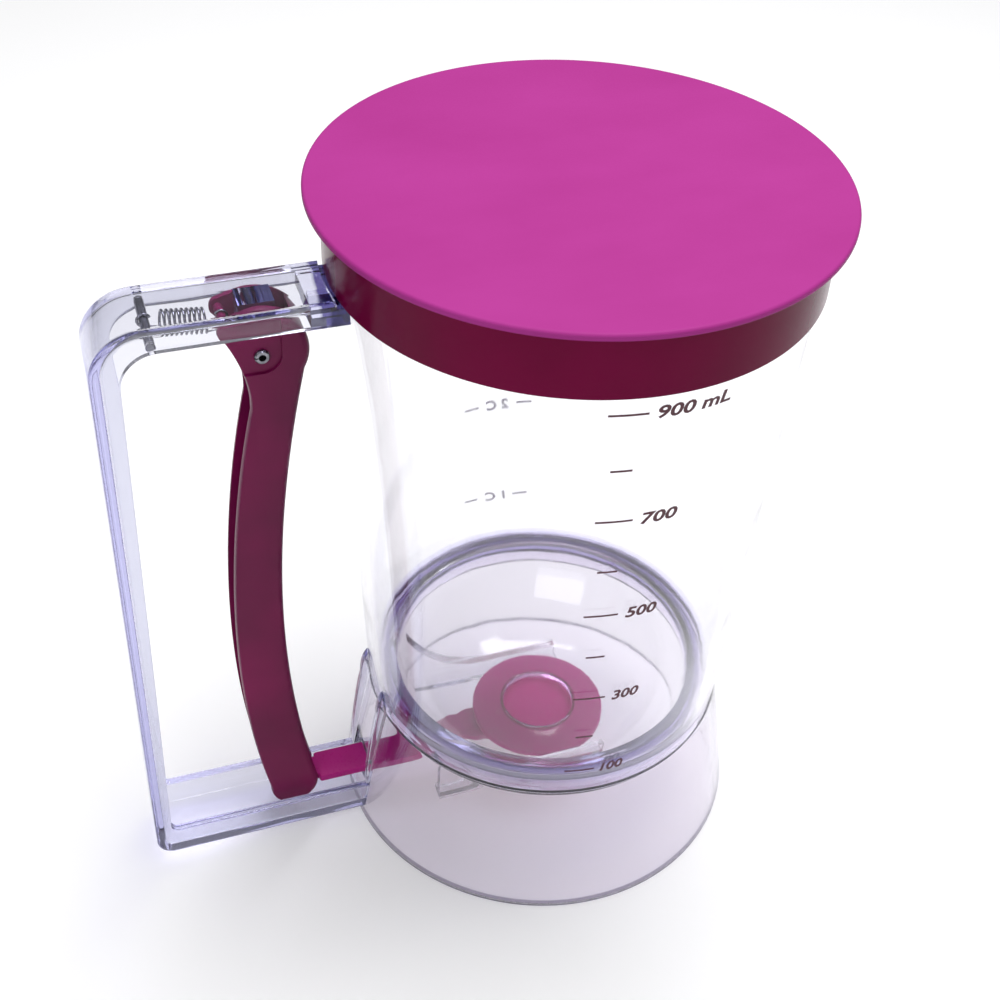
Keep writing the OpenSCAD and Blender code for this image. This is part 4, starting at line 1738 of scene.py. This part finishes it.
@dataclass
class Studio:
    """Pale floor, soft lamps, sky and the camera at the photograph's viewpoint."""

    camera_at: Triple = (-109.4, -254.9, 329.2)
    forward: Triple = (0.266, 0.712, -0.650)
    roll: float = 2.9876
    lens: float = 53.498
    bounces: int = 32
    floor_colour: Colour = (0.86, 0.86, 0.87)
    floor_glow: float = 0.2
    floor_half: float = 2500.0

    def add_camera(self) -> None:
        """Place the camera: the forward direction, then a roll about it."""
        ahead = Vector(self.forward).normalized()
        right = ahead.cross(Vector((0, 0, 1))).normalized()
        up = right.cross(ahead)
        c, s = math.cos(math.radians(self.roll)), math.sin(math.radians(self.roll))
        r, u = c * right + s * up, -s * right + c * up
        data = bpy.data.cameras.new("camera")
        data.lens, data.sensor_width, data.clip_start = self.lens, 36.0, 0.01
        camera = add_object("camera", data)
        turn = Matrix((r, u, -ahead)).transposed().to_4x4()
        camera.matrix_world = Matrix.Translation(Vector(self.camera_at) * MM) @ turn
        bpy.context.scene.camera = camera

    def add_lamp(self, name: str, at: Triple, size: Pair, power: float) -> None:
        """Hang a soft white rectangular lamp that looks at the cup.

        Args:
            name: Name of the lamp.
            at: Place in metres.
            size: Width and height in metres.
            power: Power in watts.
        """
        data = bpy.data.lights.new(name, "AREA")
        data.shape, data.size, data.size_y = "RECTANGLE", *size
        data.energy = power
        place = Vector(at)
        look = (Vector((-0.02, 0.0, 0.09)) - place).to_track_quat("-Z", "Y")
        lamp = add_object(name, data)
        lamp.matrix_world = Matrix.Translation(place) @ look.to_matrix().to_4x4()

    def add_floor(self) -> None:
        """Lay a wide pale floor that camera, glossy and transmission rays see brighter."""
        half = self.floor_half
        points = np.insert(rectangle(-half, -half, half, half), 2, 0.0, axis=1) * MM
        mesh = bpy.data.meshes.new("floor")
        mesh.from_pydata(points.tolist(), [], [[0, 1, 2, 3]])
        floor = add_object("floor", mesh)
        graph = new_graph("floor_paper")
        darker = tuple(0.985 * c for c in self.floor_colour)
        tone = graph.mix(graph.noise(3.0, 2.0), self.floor_colour, darker)
        paper = graph.surface(tone, 0.9, {"Specular IOR Level": 0.1})
        glow = graph.add("ShaderNodeEmission", {"Color": WHITE, "Strength": self.floor_glow})
        both = graph.add("ShaderNodeAddShader", {0: paper, 1: glow.outputs[0]}).outputs[0]
        rays = graph.add("ShaderNodeLightPath").outputs
        seen = rays["Is Camera Ray"]
        for other in ("Is Glossy Ray", "Is Transmission Ray"):
            seen = graph.join("MAXIMUM", seen, rays[other])
        shown = graph.add("ShaderNodeMixShader", {0: seen, 1: paper, 2: both}).outputs[0]
        mesh.materials.append(graph.finish(shown))

    def add_sky(self) -> None:
        """Even sky, brighter overhead and darker at the level of the table's edge."""
        world = bpy.data.worlds.new("sky")
        bpy.context.scene.world = world
        graph = Graph(world)
        place = graph.add("ShaderNodeTexCoord").outputs["Generated"]
        height = graph.add("ShaderNodeSeparateXYZ", {0: place}).outputs[2]
        light = graph.ramp(height, 0.0, 0.35, 0.12, 0.25)
        sky = graph.add("ShaderNodeBackground", {"Color": WHITE, "Strength": light}).outputs[0]
        graph.add("ShaderNodeOutputWorld", {"Surface": sky})

    def build(self) -> None:
        """Set up the floor, the lamps, the sky and the camera."""
        bpy.context.scene.view_settings.view_transform = "Standard"
        rays = bpy.context.scene.cycles
        rays.max_bounces = rays.transmission_bounces = self.bounces
        rays.glossy_bounces = self.bounces // 2
        self.add_floor()
        self.add_sky()
        self.add_lamp("key", (0.17, 0.10, 1.05), (0.65, 0.65), 10.6)
        self.add_lamp("fill", (-0.6, -0.9, 0.6), (0.8, 0.6), 3.9)
        self.add_camera()


def main() -> None:
    """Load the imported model, build every sub-assembly in order and set the studio up."""
    logging.basicConfig(level=logging.INFO, format="%(name)s: %(message)s")
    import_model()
    wardrobe = Wardrobe()
    vessel = Vessel()
    for assembly in (vessel, Handle(vessel), Lever(), Valve(), ReturnSpring(), Lid(),
                     ScalePrint(vessel)):
        LOG.info("building %s", type(assembly).__name__)
        assembly.build(wardrobe)
    Studio().build()


if __name__ == "__main__":
    main()
